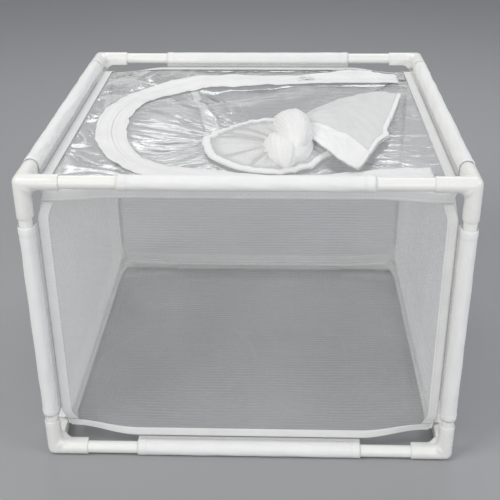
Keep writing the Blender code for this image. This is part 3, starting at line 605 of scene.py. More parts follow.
for up, level, height in LEVELS:
    for back, depth in ENDS:
        for right, side in SIDES:
            mesh = fitting.copy()
            place = Matrix.Translation((right * AXIS_OUT, back * AXIS_OUT, height))
            mesh.transform(place @ Matrix.Diagonal((-right, -back, -up, 1)))
            if right * back * up > 0:
                mesh.flip_normals()
            sharpen(mesh, 50)
            mesh.materials.append(moulded_pvc)
            obj = new_object(f"fitting_{depth}_{side}_{level}", mesh)
            settle(obj, "cage", f"elbow_{depth}_{side}_{level}")
print("fittings:", 8, "with", len(fitting.polygons), "faces each")

# %% [markdown]
# ## Pipes
#
# Each pipe is a real tube with its bore, and its ends are cut square with a small chamfer. It goes all the
# way into the sockets, so that it would still look right with a fitting pulled off.


# %% The twelve edges of the frame, with a pipe along each
def frame_edges():
    """For each edge: its name, its direction, the signs that say where it is, and its middle."""
    for up, level, height in LEVELS:
        for back, depth in ENDS:
            yield f"rail_{depth}_{level}", "X", Vector((0, back, up)), Vector((0, back * AXIS_OUT, height))
        for right, side in SIDES:
            yield f"rail_{side}_{level}", "Y", Vector((right, 0, up)), Vector((right * AXIS_OUT, 0, height))
    for back, depth in ENDS:
        for right, side in SIDES:
            place = Vector((right * AXIS_OUT, back * AXIS_OUT, AXIS_MIDDLE))
            yield f"post_{depth}_{side}", "Z", Vector((right, back, 0)), place


def pipe_name(edge):
    return edge.replace("rail", "pipe").replace("post", "pipe_post")


RUN = {"X": Vector((1, 0, 0)), "Y": Vector((0, 1, 0)), "Z": Vector((0, 0, 1))}
PIPE_SIDES = 40
PIPE_GIRTH = 2 * math.pi * PIPE_RADIUS
CHAMFER = 0.0003
END_GAP = 0.0003
for edge, axis, signs, middle in frame_edges():
    half = (UP_HALF if axis == "Z" else AXIS_OUT) - SOCKET_FLOOR - END_GAP
    inward = -signs.normalized()
    sideways = RUN[axis].cross(inward)
    ways_out = [inward * math.cos(a) + sideways * math.sin(a) for a in circle(PIPE_SIDES)]
    bore = PIPE_RADIUS - PIPE_WALL
    profile = [(-half, PIPE_RADIUS - CHAMFER), (CHAMFER - half, PIPE_RADIUS)]
    profile += [(half * share, PIPE_RADIUS) for share in (-0.6, -0.2, 0.2, 0.6)]
    profile += [(half - CHAMFER, PIPE_RADIUS), (half, PIPE_RADIUS - CHAMFER), (half, bore), (-half, bore)]
    rows = [[middle + RUN[axis] * along + radius * way for way in ways_out] for along, radius in profile]
    lengths = [along for along, _ in profile] + [-half]
    pipe = loft(
        pipe_name(edge),
        rows,
        lambda i, j: (PIPE_GIRTH * j / PIPE_SIDES, lengths[i]),
        wrap=True,
        ring=True,
        finish=extruded_pvc,
    )
    sharpen(pipe.data, 35)
    settle(pipe, "cage", edge)
print("pipes:", len(list(frame_edges())))

# %% [markdown]
# ## Pole sleeves
#
# A pole sleeve is one strip of cloth folded round the pipe, with both edges sewn into a seam of the cage.
# The two layers next to the seam make a flat neck. The sleeves are cut with some ease, so they bag and
# wrinkle, most along the sides. Their ends are turned in and stitched, which makes them a little thicker.

# %% The cloth across a sleeve
SLEEVE_CLOTH = 0.0004
SLEEVE_RADIUS = 0.00655
SLEEVE_SLACK = {"X": 0.0004, "Y": 0.0009, "Z": 0.0006}
SLEEVE_STEPS = 30
SLEEVE_STATION = 0.0025
CUT_RADIUS = 0.0072
HEM = 0.0085
HEM_THICKER = 0.00035
STITCH_PULL = 0.0003
NECK_END = 0.0113
NECK_GAP = 0.00025
NECK_STEPS = 4
NECK_WIDTH = 0.004
NECK_OPENING = math.radians(40)
LOWEST_CLOTH = 0.0006


def sleeve_row(along, half, slack, seed):
    """The cloth across a sleeve, as (towards the cage, sideways), from one layer of its neck to the other."""
    to_end = half - abs(along)
    stitched = math.exp(-(((to_end - HEM) / 0.0012) ** 2))
    base = SLEEVE_RADIUS + (HEM_THICKER if to_end < HEM else 0.0) - STITCH_PULL * stitched
    around = []
    for step in range(SLEEVE_STEPS + 1):
        angle = NECK_OPENING + (2 * math.pi - 2 * NECK_OPENING) * step / SLEEVE_STEPS
        c, s = math.cos(angle), math.sin(angle)
        bag = 0.5 + 0.9 * bumpy(38 * along + 0.9 * angle, 1.3 * c, 1.3 * s, seed)
        crinkle = 0.5 + 0.5 * bumpy(230 * along - 2.0 * angle, 2 * c, 2 * s, seed + 3)
        loose = slack * max(0.0, bag) + 0.0002 * crinkle
        radius = base + loose * smooth_step(to_end / 0.004)
        around.append((radius * c, -radius * s))
    neck = []
    near, wide = around[0][0], abs(around[0][1])
    for step in range(NECK_STEPS):
        share = step / NECK_STEPS
        fold = 0.0006 * math.sin(math.pi * share) * bumpy(60 * along, share, 0.0, seed + 7)
        toward = NECK_END + (near - NECK_END) * share
        neck.append((toward, NECK_GAP + (wide - NECK_GAP) * share**1.15 + fold))
    return [(toward, -aside) for toward, aside in neck] + around + list(reversed(neck))


# %% Sleeves round the pipes
def make_sleeve(edge, axis, signs, middle, seed):
    half = SLEEVE_HALF[axis]
    inward = -signs.normalized()
    sideways = RUN[axis].cross(inward)
    steps = round(2 * half / SLEEVE_STATION)
    rows = []
    for step in range(steps + 1):
        along = -half + 2 * half * step / steps
        row = []
        for toward, aside in sleeve_row(along, half, SLEEVE_SLACK[axis], seed):
            point = middle + RUN[axis] * along + toward * inward + aside * sideways
            point.z = max(point.z, LOWEST_CLOTH)
            row.append(point)
        rows.append(row)
    width = 2 * math.pi * CUT_RADIUS + 2 * NECK_WIDTH
    count = len(rows[0]) - 1

    def flat(i, j):
        """Across the map is the distance from the nearer hem, so that the stitches run round the sleeve."""
        return min(i, steps - i) * 2 * half / steps, width * j / count

    sleeve = loft("pole_" + edge, rows, flat, finish=polyester_cloth)
    backed = [2.2 * smooth_step(min(j, count - j) - NECK_STEPS + 1.5) for j in range(count + 1)]
    store(sleeve, "doubled", backed * (steps + 1))
    thicken(sleeve, SLEEVE_CLOTH)
    settle(sleeve, "cage", f"sleeve_{edge}")
    pipe_name(edge)


for seed, edge in enumerate(frame_edges()):
    make_sleeve(*edge, seed)
print("pole sleeves:", seed + 1)

# %% [markdown]
# ## The drawn-in corners of the cage
#
# The cage is a little smaller than the frame, and nothing holds it at the eight corners. So the cloth
# there pulls away from the fittings and leaves small gaps. One function says where any point of the cage
# ends up. The bindings, the netting and the roof all go through it, and so they stay together.


# %% Where a point of the cage ends up
def fade(inset, turn):
    return smooth_step((turn - inset) / (turn - PANEL_INSET))


def drawn_in(point):
    low, high = point.z - AXIS_LOW, AXIS_HIGH - point.z
    near = (
        fade(AXIS_OUT - abs(point.x), CORNER_TURN["X"])
        * fade(AXIS_OUT - abs(point.y), CORNER_TURN["Y"])
        * fade(min(low, high), CORNER_TURN["Z"])
    )
    inward = Vector((-math.copysign(1, point.x), -math.copysign(1, point.y), math.copysign(1, high - low)))
    return point + CORNER_DRAW * near * inward


def crumple(point):
    """How much the cloth is crumpled at a point: 1 at a corner of the cage, 0 where a sleeve holds it."""
    return fade(AXIS_OUT - abs(point.x), CORNER_TURN["X"]) * fade(AXIS_OUT - abs(point.y), CORNER_TURN["Y"])


print("a corner of the cage is drawn in, in mm:", round(1000 * CORNER_DRAW, 1), "each way")

# %% [markdown]
# ## Bindings
#
# Each seam of the cage is bound with a folded strip of cloth, stitched through near both of its edges.
# Seen across, it is an L, with one flange on each panel. The flanges ripple a little, as cloth does
# between its stitches, and more at the loose corners. They are narrower along the bottom of the left and
# right sides, and up the two back corners.

# %% The cloth across a binding
BINDING_CLOTH = 0.0005
BINDING_MIDDLE = SEAM_INSET + 0.0003
NARROWER = 0.0042
FIRST_FLANGE = 7
LEVEL_TURN = 0.075
POST_TURN = 0.06


def binding_profile(end):
    """The middle of the cloth across the L, as insets along both panels, and how free each point is."""
    long = end - BINDING_MIDDLE - 0.0016
    flange = [(end - step * long / 5, BINDING_MIDDLE, 1 - step / 5) for step in range(6)]
    corner = [(BINDING_MIDDLE + 0.0005, BINDING_MIDDLE + 0.00012, 0.0)]
    corner.append((BINDING_MIDDLE + 0.00012, BINDING_MIDDLE + 0.0005, 0.0))
    return flange + corner + [(drop, inset, free) for inset, drop, free in reversed(flange)]


def binding_row(place, outward, height_of, seed):
    """One station of a level seam. Along the bottom at the sides, the two flanges are narrower."""
    row = []
    low_side = height_of(0) < AXIS_MIDDLE and outward.y == 0
    narrow = NARROWER * smooth_step((AXIS_OUT - abs(place.y) - 0.02) / 0.03) if low_side else 0.0
    for index, (inset, drop, free) in enumerate(binding_profile(BINDING_END - narrow)):
        x, y = place - inset * outward
        point = drawn_in(Vector((x, y, height_of(drop))))
        ripple = 0.5 + 0.5 * bumpy(160 * point.x, 160 * point.y, 160 * point.z + index * 0.15, seed)
        lift = free * (0.00025 + 0.0011 * crumple(point)) * ripple
        if index < FIRST_FLANGE:
            push = Vector((0, 0, math.copysign(lift, point.z - AXIS_MIDDLE)))
        else:
            push = Vector((*(lift * outward), 0))
        row.append(point + push)
    return row


# %% Bindings round the top, the bottom and up the four corners
def level_stations():
    """Round a level seam: for each station the point over the pipes' axes and the way out of the cage."""
    insets = [BINDING_END + (LEVEL_TURN - BINDING_END) * step / 12 for step in range(13)]
    insets += [LEVEL_TURN + (AXIS_OUT - LEVEL_TURN) * step / 20 for step in range(1, 20)]
    for right, back in ((1, -1), (1, 1), (-1, 1), (-1, -1)):
        on_side, on_end = [], []
        for inset in insets:
            on_side.append((Vector((right * AXIS_OUT, back * (AXIS_OUT - inset))), Vector((right, 0))))
            on_end.append((Vector((right * (AXIS_OUT - inset), back * AXIS_OUT)), Vector((0, back))))
        before, after = (on_side, on_end) if right == back else (on_end, on_side)
        yield from reversed(before)
        yield Vector((right * AXIS_OUT, back * AXIS_OUT)), Vector((right, back))
        yield from after


def make_binding(name, rows, length, ring, narrower):
    """The strip's flat width is that of its two flanges, less what it is narrower on average."""
    width = 2 * (BINDING_END - BINDING_MIDDLE - narrower)
    count = len(rows[0]) - 1

    def flat(i, j):
        return width * j / count, length * i / len(rows)

    binding = loft("bound_" + name, rows, flat, ring=ring, finish=binding_cloth)
    thicken(binding, BINDING_CLOTH)
    settle(binding, "cage", "binding_" + name)


for up, level, height in reversed(LEVELS):
    rows = []
    for place, outward in level_stations():
        rows.append(binding_row(place, outward, lambda drop: height - up * drop, 2 + up))
    make_binding(level, rows, 8 * (AXIS_OUT - SEAM_INSET), True, 0.0 if up > 0 else 0.4 * NARROWER)

for back, depth in ENDS:
    narrower = NARROWER if back > 0 else 0.0
    for right, side in SIDES:
        insets = [BINDING_END + 0.0008 + (POST_TURN - BINDING_END) * step / 12 for step in range(13)]
        insets += [POST_TURN + (UP_HALF - POST_TURN) * step / 14 for step in range(1, 15)]
        heights = [AXIS_LOW + inset for inset in insets]
        heights += [AXIS_HIGH - inset for inset in reversed(insets[:-1])]
        rows = []
        for height in heights:
            row = []
            for index, (inset, drop, free) in enumerate(binding_profile(BINDING_END - narrower)):
                point = drawn_in(Vector((right * (AXIS_OUT - inset), back * (AXIS_OUT - drop), height)))
                up_it = 120 * point.z + index * 0.15
                ripple = 0.5 + 0.5 * bumpy(160 * point.x, 160 * point.y, up_it, 5 + right + 2 * back)
                lift = free * 0.0004 * ripple
                on_end = index < FIRST_FLANGE
                point += Vector((0, back * lift, 0)) if on_end else Vector((right * lift, 0, 0))
                row.append(point)
            rows.append(row)
        make_binding(f"{depth}_{side}", rows, heights[-1] - heights[0], False, narrower)
print("bindings:", 6)

# %% [markdown]
# ## Netting panels
#
# Five sides of the cage are netting. A panel is cut square and hangs from its seams, so it is nearly
# flat, with soft folds that fall from the corners and a floor that sags a little. A finer grid with a few
# smooth waves gives that, without a cloth simulation, and keeps each edge exactly in its binding.

# %% Netting on the five sides
NET_EDGE = PANEL_INSET + 0.0006
NET_STEP = 0.0045


def panel_lines(axis):
    half = (UP_HALF if axis == "Z" else AXIS_OUT) - NET_EDGE
    count = round(2 * half / NET_STEP)
    return [-half + 2 * half * step / count for step in range(count + 1)]


def panel_fold(normal, first, second, seed):
    """How far the netting bellies into the cage, in metres, at a place measured from the panel's middle."""
    if normal == "Z":
        return -0.0022 * (0.6 + bumpy(11 * first, 11 * second, 0.0, seed))
    hang = 0.0028 * (0.5 + bumpy(26 * first + 4 * second, 5 * second, 0.0, seed))
    fine = 0.0009 * bumpy(75 * first - 10 * second, 14 * second, 0.0, seed + 2)
    return hang + fine


def make_net(name, node, normal, sign, seed, finish):
    first_axis, second_axis = [axis for axis in "XYZ" if axis != normal]
    order = {"X": 0, "Y": 1, "Z": 2}
    first_lines, second_lines = panel_lines(first_axis), panel_lines(second_axis)
    rows = []
    for second in second_lines:
        row = []
        for first in first_lines:
            point = Vector((0, 0, AXIS_MIDDLE))
            point[order[first_axis]] += first
            point[order[second_axis]] += second
            half = UP_HALF if normal == "Z" else AXIS_OUT
            point[order[normal]] += sign * (half - PANEL_INSET)
            point = drawn_in(point)
            from_side = min(first - first_lines[0], first_lines[-1] - first)
            from_edge = min(from_side, second - second_lines[0], second_lines[-1] - second)
            free = smooth_step((from_edge - 0.006) / 0.03)
            point[order[normal]] -= sign * free * panel_fold(normal, first, second, seed)
            row.append(point)
        rows.append(row)
    net = loft(name, rows, lambda i, j: (first_lines[j], second_lines[i]), finish=finish)
    settle(net, "cage", node)


NET_SIDES = (
    ("floor", "Z", -1, floor_net),
    ("front", "Y", -1, front_veil),
    ("back", "Y", 1, back_net),
    ("left", "X", -1, side_net),
    ("right", "X", 1, side_net),
)
for seed, (name, normal, sign, finish) in enumerate(NET_SIDES):
    make_net(f"{name}_netting", f"{name}_net", normal, sign, seed, finish)
print("netting panels:", len(NET_SIDES))

# %% [markdown]
# ## The zip's line and the shape of the roof
#
# The zip runs along the back, round a bend at the left, and along the front, and the film folds at the
# right. The roof isn't flat: it sags under the knotted sleeve, stands up behind the zip, and is wrinkled.
# Functions give its height anywhere, so all that lies on it follows. The bend is half an ellipse, and its
# length comes from a well-known approximation of an ellipse's girth.

# %% The zip's line
ZIP_BACK = 0.134
ZIP_FRONT = -0.150
BEND_X = -0.054
BEND_REACH_X = 0.089
BEND_REACH_Y = (ZIP_BACK - ZIP_FRONT) / 2
BEND_Y = (ZIP_BACK + ZIP_FRONT) / 2
ZIP_END = 0.165
ZIP_LENGTH = 0.83
TAPE_OUT = 0.016
FILM_CUT = 0.0038
HINGE_X = 0.168
HINGE_HALF = 0.008
STRAIGHT_RUN = ZIP_END - BEND_X
across_bend = math.sqrt((3 * BEND_REACH_X + BEND_REACH_Y) * (BEND_REACH_X + 3 * BEND_REACH_Y))
BEND_LENGTH = 0.5 * math.pi * (3 * (BEND_REACH_X + BEND_REACH_Y) - across_bend)


def zip_away(x, y):
    """How far a place on the roof is outside the zip's middle line, less than 0 on the door."""
    if x > BEND_X:
        return max(y - ZIP_BACK, ZIP_FRONT - y)
    a, b = (x - BEND_X) / BEND_REACH_X, (y - BEND_Y) / BEND_REACH_Y
    reach = math.hypot(a, b)
    if reach < 0.01:
        return -BEND_REACH_X
    slope = math.hypot(a / BEND_REACH_X, b / BEND_REACH_Y) / reach
    return (reach - 1) / slope


def zip_place(share, offset):
    """A place by the zip: share is 0 at the end of the back run and 1 at the end of the front run."""
    along = share * (2 * STRAIGHT_RUN + BEND_LENGTH)
    if along <= STRAIGHT_RUN:
        return ZIP_END - along, ZIP_BACK + offset
    if along >= STRAIGHT_RUN + BEND_LENGTH:
        return BEND_X + along - STRAIGHT_RUN - BEND_LENGTH, ZIP_FRONT - offset
    angle = math.pi / 2 - math.pi * (along - STRAIGHT_RUN) / BEND_LENGTH
    across, up = -BEND_REACH_Y * math.cos(angle), BEND_REACH_X * math.sin(angle)
    size = math.hypot(across, up)
    x = BEND_X - BEND_REACH_X * math.cos(angle) + offset * across / size
    y = BEND_Y + BEND_REACH_Y * math.sin(angle) + offset * up / size
    return x, y


print("zip, from end to end, in mm:", round(1000 * (2 * STRAIGHT_RUN + BEND_LENGTH)))

# %% The roof's height
RING_X, RING_Y = 0.021, -0.063
RING_RADIUS = 0.064
RING_PUSH = 0.006
SAGS = (
    (-0.060, 0.095, 0.070, 0.040, -0.0090),
    (0.000, -0.015, 0.070, 0.060, -0.0060),
    (0.035, -0.135, 0.075, 0.035, -0.0095),
    (-0.085, -0.085, 0.030, 0.030, -0.0090),
    (0.112, 0.160, 0.036, 0.020, 0.0090),
    (0.150, 0.070, 0.030, 0.045, 0.0025),
)


def roof_sag(x, y):
    """The roof's soft shape: each line of SAGS is a hollow or a swelling. The slider's run stays level."""
    edge = min(AXIS_OUT - abs(x), AXIS_OUT - abs(y)) - BINDING_END
    total = 0.0
    for middle_x, middle_y, reach_x, reach_y, height in SAGS:
        total += height * math.exp(-(((x - middle_x) / reach_x) ** 2) - ((y - middle_y) / reach_y) ** 2)
    on_run = smooth_step((x + 0.095) / 0.04)
    if total < 0:
        total *= 1 - on_run * smooth_step((y - 0.114) / 0.018)
    else:
        total *= 1 - on_run * (1 - smooth_step((abs(y - ZIP_BACK) - 0.006) / 0.012))
    return smooth_step(edge / 0.022) * total


def ring_reach(turn):
    """The sleeve's ring isn't quite round: pushed out at the front left and in at the back left."""
    front_left = ((turn + math.radians(128)) + math.pi) % (2 * math.pi) - math.pi
    back_left = ((turn - math.radians(143)) + math.pi) % (2 * math.pi) - math.pi
    pushed_out = math.exp(-((front_left / 0.55) ** 2))
    pushed_in = math.exp(-((back_left / 0.5) ** 2))
    return RING_RADIUS + RING_PUSH * pushed_out - RING_PUSH * pushed_in


def from_ring(x, y):
    return math.hypot(x - RING_X, y - RING_Y) - ring_reach(math.atan2(y - RING_Y, x - RING_X))


print("hollows and swellings in the roof:", len(SAGS))

# %% Wrinkles and creases of the film
FOLD_TOP = Vector((-0.072, 0.120))
FOLD_LOW = Vector((-0.039, -0.030))


def packet_fold(x, y):
    """The flattened fold that the packet left in the door's film, as 1 on it and 0 beside it."""
    run = FOLD_LOW - FOLD_TOP
    share = (Vector((x, y)) - FOLD_TOP).dot(run) / run.length_squared
    away = (Vector((x, y)) - FOLD_TOP - share * run).length
    half = 0.0042 + 0.0035 * smooth_step((share - 0.5) / 0.4)
    ends = smooth_step(share / 0.05) * smooth_step((1.04 - share) / 0.06)
    return ends * smooth_step((half + 0.0012 - away) / 0.0016)


def crests(x, y):
    """The film's wrinkles as three sets: across its edges, from the zip to the sleeve, and broad ones."""
    near_side = smooth_step((abs(x) - 0.09) / 0.05)
    across_side = ridge(bumpy(13 * x, 58 * y + 6 * bumpy(18 * x, 18 * y, 0.0, 9), 0.0, 1))
    across_end = ridge(bumpy(64 * x, 12 * y, 0.0, 2))
    edges = near_side * across_side + (1 - near_side) * 0.7 * across_end
    turn = math.atan2(y - RING_Y, x - RING_X)
    reach = math.hypot(x - RING_X, y - RING_Y)
    pulled = ridge(bumpy_round(turn, 9, 7 * reach, 3))
    to_left = smooth_step((math.cos(turn - math.radians(185)) + 0.1) / 0.7)
    pulled *= 0.25 + 0.75 * to_left
    if zip_away(x, y) > 0:
        pulled *= 0.2
    else:
        edges *= 0.2
    return edges, pulled, bumpy(24 * x, 24 * y, 0.0, 4)


def loose_film(x, y):
    """1 where the film is free to wrinkle, and 0 under the zip's tapes, at the ring and at the seam."""
    off_zip = smooth_step((abs(zip_away(x, y)) - 0.0165) / 0.004)
    off_ring = smooth_step((from_ring(x, y) - 0.006) / 0.006)
    off_seam = smooth_step((AXIS_OUT - BINDING_END - max(abs(x), abs(y))) / 0.003)
    return off_zip * off_ring * off_seam


def wrinkles(x, y):
    edges, pulled, broad = crests(x, y)
    fine = ridge(bumpy(30 * x, 140 * y, 0.0, 5))
    height = 0.0024 * (edges - 0.4) + 0.0019 * (pulled - 0.3) + 0.0014 * broad + 0.0003 * fine
    return loose_film(x, y) * (height + 0.0014 * packet_fold(x, y))


def crease_haze_and_highlight(x, y):
    """How white the film is: haze where it is creased or folded, and painted highlight on wrinkles."""
    edges, pulled, broad = crests(x, y)
    sharp = max(smooth_step((pulled - 0.74) / 0.2), 1.4 * smooth_step((edges - 0.66) / 0.2))
    patch = smooth_step((broad - 0.24) / 0.12)
    return loose_film(x, y) * min(0.6, 0.3 * sharp + 0.16 * patch + 0.5 * packet_fold(x, y))


def film_point(x, y):
    point = drawn_in(Vector((x, y, ROOF)))
    point.z += roof_sag(x, y) + wrinkles(x, y)
    return point


# %% [markdown]
# ## The film of the roof and of the door
#
# The film outside the zip and the film of the door are two pieces, because the door lifts. Each is a loft
# between two closed lines, so that its edges follow the zip exactly. Where the door folds, a narrow strip
# of film lies across the fold, fixed to neither piece.

# %% Closed lines round the roof
EDGE_STEPS = 400
FOLD_STEPS = 130


def door_edge(offset, right):
    """The closed line of the door's edge, moved out by the offset. It starts at the back right corner."""
    line = [zip_place(step / EDGE_STEPS, offset) for step in range(EDGE_STEPS + 1)]
    line[0] = (right, line[0][1])
    line[-1] = (right, line[-1][1])
    low, high = line[-1][1], line[0][1]
    closing = [(right, low + (high - low) * step / FOLD_STEPS) for step in range(1, FOLD_STEPS)]
    return line + closing


def seam_line(points, inset):
    """For each point of a line round the roof, the place where the ray from the middle meets the seam."""
    reach = AXIS_OUT - inset
    found = []
    for x, y in points:
        turn = math.atan2(y - BEND_Y, x)
        dx, dy = math.cos(turn), math.sin(turn)
        limits = []
        if abs(dx) > 1e-6:
            limits.append((math.copysign(reach, dx)) / dx)
        if abs(dy) > 1e-6:
            limits.append((math.copysign(reach, dy) - BEND_Y) / dy)
        far = min(limits)
        found.append([far * dx, BEND_Y + far * dy])
    for corner in ((1, 1), (-1, 1), (-1, -1), (1, -1)):
        target = (corner[0] * reach, corner[1] * reach)
        nearest = min(range(len(found)), key=lambda k: math.dist(found[k], target))
        found[nearest] = list(target)
    return found


# %% Film outside the zip, on the door, and across the fold
FILM_GIRTH = 1.1
FILM_STEP = 0.0015


def mark_haze_and_highlights(film):
    """Stores how white each point of a film is, haze and painted highlight, for the film's finish."""
    store(film, "crease_haze_and_highlight", [crease_haze_and_highlight(point.co.x, point.co.y) for point in film.data.vertices])


def film_between(name, outer, inner, steps, body, node):
    rows = []
    for level in range(steps + 1):
        share = level / steps
        row = []
        for (ax, ay), (bx, by) in zip(outer, inner):
            row.append(film_point(ax + (bx - ax) * share, ay + (by - ay) * share))
        rows.append(row)

    def flat(i, j):
        return FILM_GIRTH * j / len(outer), FILM_STEP * i

    film = loft(name, rows, flat, wrap=True, finish=clear_film)
    mark_haze_and_highlights(film)
    settle(film, body, node)
    return film


roof_line = door_edge(FILM_CUT, HINGE_X + HINGE_HALF)
roof = film_between("roof_film", seam_line(roof_line, NET_EDGE), roof_line, 30, "cage", "top_film")

door_line = door_edge(-FILM_CUT, HINGE_X - HINGE_HALF)
hole_line = []
for x, y in door_line:
    turn = math.atan2(y - RING_Y, x - RING_X)
    reach = ring_reach(turn) - 0.002
    hole_line.append((RING_X + reach * math.cos(turn), RING_Y + reach * math.sin(turn)))
door = film_between("door_clear_film", door_line, hole_line, 70, "door", "door_film")

fold_rows = []
for step in range(FOLD_STEPS + 1):
    y = ZIP_FRONT + FILM_CUT + (ZIP_BACK - ZIP_FRONT - 2 * FILM_CUT) * step / FOLD_STEPS
    fold_rows.append([film_point(HINGE_X - HINGE_HALF + 2 * HINGE_HALF * k / 8, y) for k in range(9)])
fold_film = loft("fold_film", fold_rows, lambda i, j: (0.0021 * i, 0.002 * j), finish=clear_film)
mark_haze_and_highlights(fold_film)
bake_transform(fold_film)

# %% [markdown]
# ## Zip tapes and coils
#
# The tapes are woven bands, 16 mm wide each, sewn on the film either side of the slot. Lying on soft film,
# they undulate. The teeth are one nylon wire wound in a flat coil along each tape's edge, on the
# underside, so a real coil is wound here: a thin wire along the zip's line.

# %% Tapes on the roof and on the door
TAPE_STATIONS = 300
TAPE_COLUMNS = 20
TAPE_GAP = 0.0001
TAPE_CLOTH = 0.0004
TAPE_RISE = 0.0007


def make_tape(name, node, sign, body):
    rows = []
    for step in range(TAPE_STATIONS + 1):
        share = step / TAPE_STATIONS
        row = []
        scallop = 0.0020 * bumpy(34 * share, 0.0, 0.0, 7 + sign)
        scallop += 0.0018 * bumpy(80 * share, 0.0, 0.0, 9 + sign)
        for column in range(TAPE_COLUMNS + 1):
            across = TAPE_GAP + (TAPE_OUT - TAPE_GAP) * column / TAPE_COLUMNS
            edge = column / TAPE_COLUMNS
            x, y = zip_place(share, sign * (across + edge**3 * scallop))
            over_coil = 0.0004 * smooth_step((0.0042 - across) / 0.0007)
            pleat = 0.00045 * ridge(bumpy(700 * across, 16 * share, 0.0, 21 + sign))
            rough = 0.4 + bumpy(45 * x, 45 * y, 2 * edge, 8 + sign)
            wave = 0.0012 * smooth_step((across - 0.007) / 0.008) * rough
            height = ROOF + roof_sag(x, y) + TAPE_RISE + over_coil + edge * pleat + max(0.0, wave)
            row.append(Vector((x, y, height)))
        rows.append(row)

    def flat(i, j):
        return TAPE_OUT * j / TAPE_COLUMNS, ZIP_LENGTH * i / TAPE_STATIONS

    tape = loft(name, rows, flat, finish=zip_cloth)
    thicken(tape, TAPE_CLOTH)
    settle(tape, body, node)


make_tape("roof_tape", "zip_tape_outer", 1, "cage")
make_tape("door_tape", "zip_tape_door", -1, "door")

# %% Coils under the tapes
WIRE_RADIUS = 0.00042
COIL_PITCH = 0.0017
COIL_TURN_POINTS = 8
COIL_FROM_ZIP = 0.002
COIL_DROP = 0.0008
COIL_HALF = (0.00105, 0.00055)


def make_coil(name, node, sign, body):
    turns = round(ZIP_LENGTH / COIL_PITCH)
    line = []
    for step in range(turns * COIL_TURN_POINTS + 1):
        share = step / (turns * COIL_TURN_POINTS)
        angle = 2 * math.pi * step / COIL_TURN_POINTS
        x, y = zip_place(share, sign * (COIL_FROM_ZIP + COIL_HALF[0] * math.cos(angle)))
        height = ROOF + roof_sag(x, y) - COIL_DROP + COIL_HALF[1] * math.sin(angle)
        line.append(Vector((x, y, height)))
    rows = []
    for index, point in enumerate(line):
        before, after = line[max(index - 1, 0)], line[min(index + 1, len(line) - 1)]
        forward = (after - before).normalized()
        side = forward.cross(Vector((0, 0, 1))).normalized()
        top = side.cross(forward)
        rows.append([point + WIRE_RADIUS * (side * math.cos(a) + top * math.sin(a)) for a in circle(4)])
    coil = loft(name, rows, lambda i, j: (0.0005 * j, 0.0005 * i), wrap=True, finish=nylon)
    cap_ends(coil, 4)
    coil.data.shade_smooth()
    settle(coil, body, node)
    return turns


print("turns of nylon wire in each coil:", make_coil("roof_coil", "zip_coil_outer", 1, "cage"))
make_coil("door_coil", "zip_coil_door", -1, "door")

# %% [markdown]
# ## Slider and pull
#
# The slider is a small casting: a top plate with flared shoulders, an arch that holds the pull, a thin
# web in the slot and a plate below. The outline of each plate is drawn out, and the edges of those that
# show are bevelled.

# %% Outlines drawn out into plates
SLIDER_X = 0.053


def around_slider(places):
    """Turns places that are measured from the slider's middle into places on the roof."""
    return [(SLIDER_X + x, ZIP_BACK + y) for x, y in places]


def box_outline(left, right, half):
    return around_slider(((left, -half), (right, -half), (right, half), (left, half)))


def drawn_out(name, outline, heights, bevel=0.0):
    """A closed outline of (x, y) drawn out between two heights, with its edges rounded."""
    low, high = heights
    work = bmesh.new()
    face = work.faces.new([work.verts.new((x, y, low)) for x, y in outline])
    raised = bmesh.ops.extrude_face_region(work, geom=[face])
    moved = [item for item in raised["geom"] if isinstance(item, bmesh.types.BMVert)]
    bmesh.ops.translate(work, verts=moved, vec=(0, 0, high - low))
    if bevel:
        rims = [edge for edge in work.edges if abs(edge.verts[0].co.z - edge.verts[1].co.z) < 1e-7]
        bmesh.ops.bevel(work, geom=rims, offset=bevel, segments=3, profile=0.5, affect="EDGES")
    bmesh.ops.recalc_face_normals(work, faces=work.faces)
    mesh = bpy.data.meshes.new(name)
    work.to_mesh(mesh)
    work.free()
    sharpen(mesh, 40)
    mesh.materials.append(enamel)
    return new_object(name, mesh)


def join(objects):
    """Joins loose objects into the first."""
    work = bmesh.new()
    for obj in objects:
        work.from_mesh(obj.data)
    work.to_mesh(objects[0].data)
    work.free()
    for obj in objects[1:]:
        bpy.data.objects.remove(obj, do_unlink=True)
    return objects[0]


# %% Slider
PLATE_HEIGHTS = (0.284527, 0.285727)
FOOT_HEIGHTS = (0.280027, 0.281227)
WEB_HEIGHTS = (0.2810, 0.2848)
PLATE_HALF = (0.005, 0.0043)
PLATE_WAIST = 0.72
PLATE_BEVEL = 0.00035
WEB_HALF = (0.0035, 0.0002)
ARCH_REACH = (0.00295, 0.00325)
ARCH_HALF = (0.00062, 0.0008)
ARCH_SIDES = 12

plate_outline = []
for turn in circle(40):
    x, y = squarish(turn, 0.6)
    narrow = PLATE_WAIST + (1 - PLATE_WAIST) * smooth_step(0.5 - x)
    plate_outline.append((SLIDER_X + PLATE_HALF[0] * x, ZIP_BACK + PLATE_HALF[1] * narrow * y))
foot_outline = [(x, min(y, ZIP_BACK + WEB_HALF[1])) for x, y in plate_outline]
top_plate = drawn_out("slider", plate_outline, PLATE_HEIGHTS, PLATE_BEVEL)
foot = drawn_out("slider_foot", foot_outline, FOOT_HEIGHTS)
web = drawn_out("slider_web", box_outline(-WEB_HALF[0], WEB_HALF[0], WEB_HALF[1]), WEB_HEIGHTS)

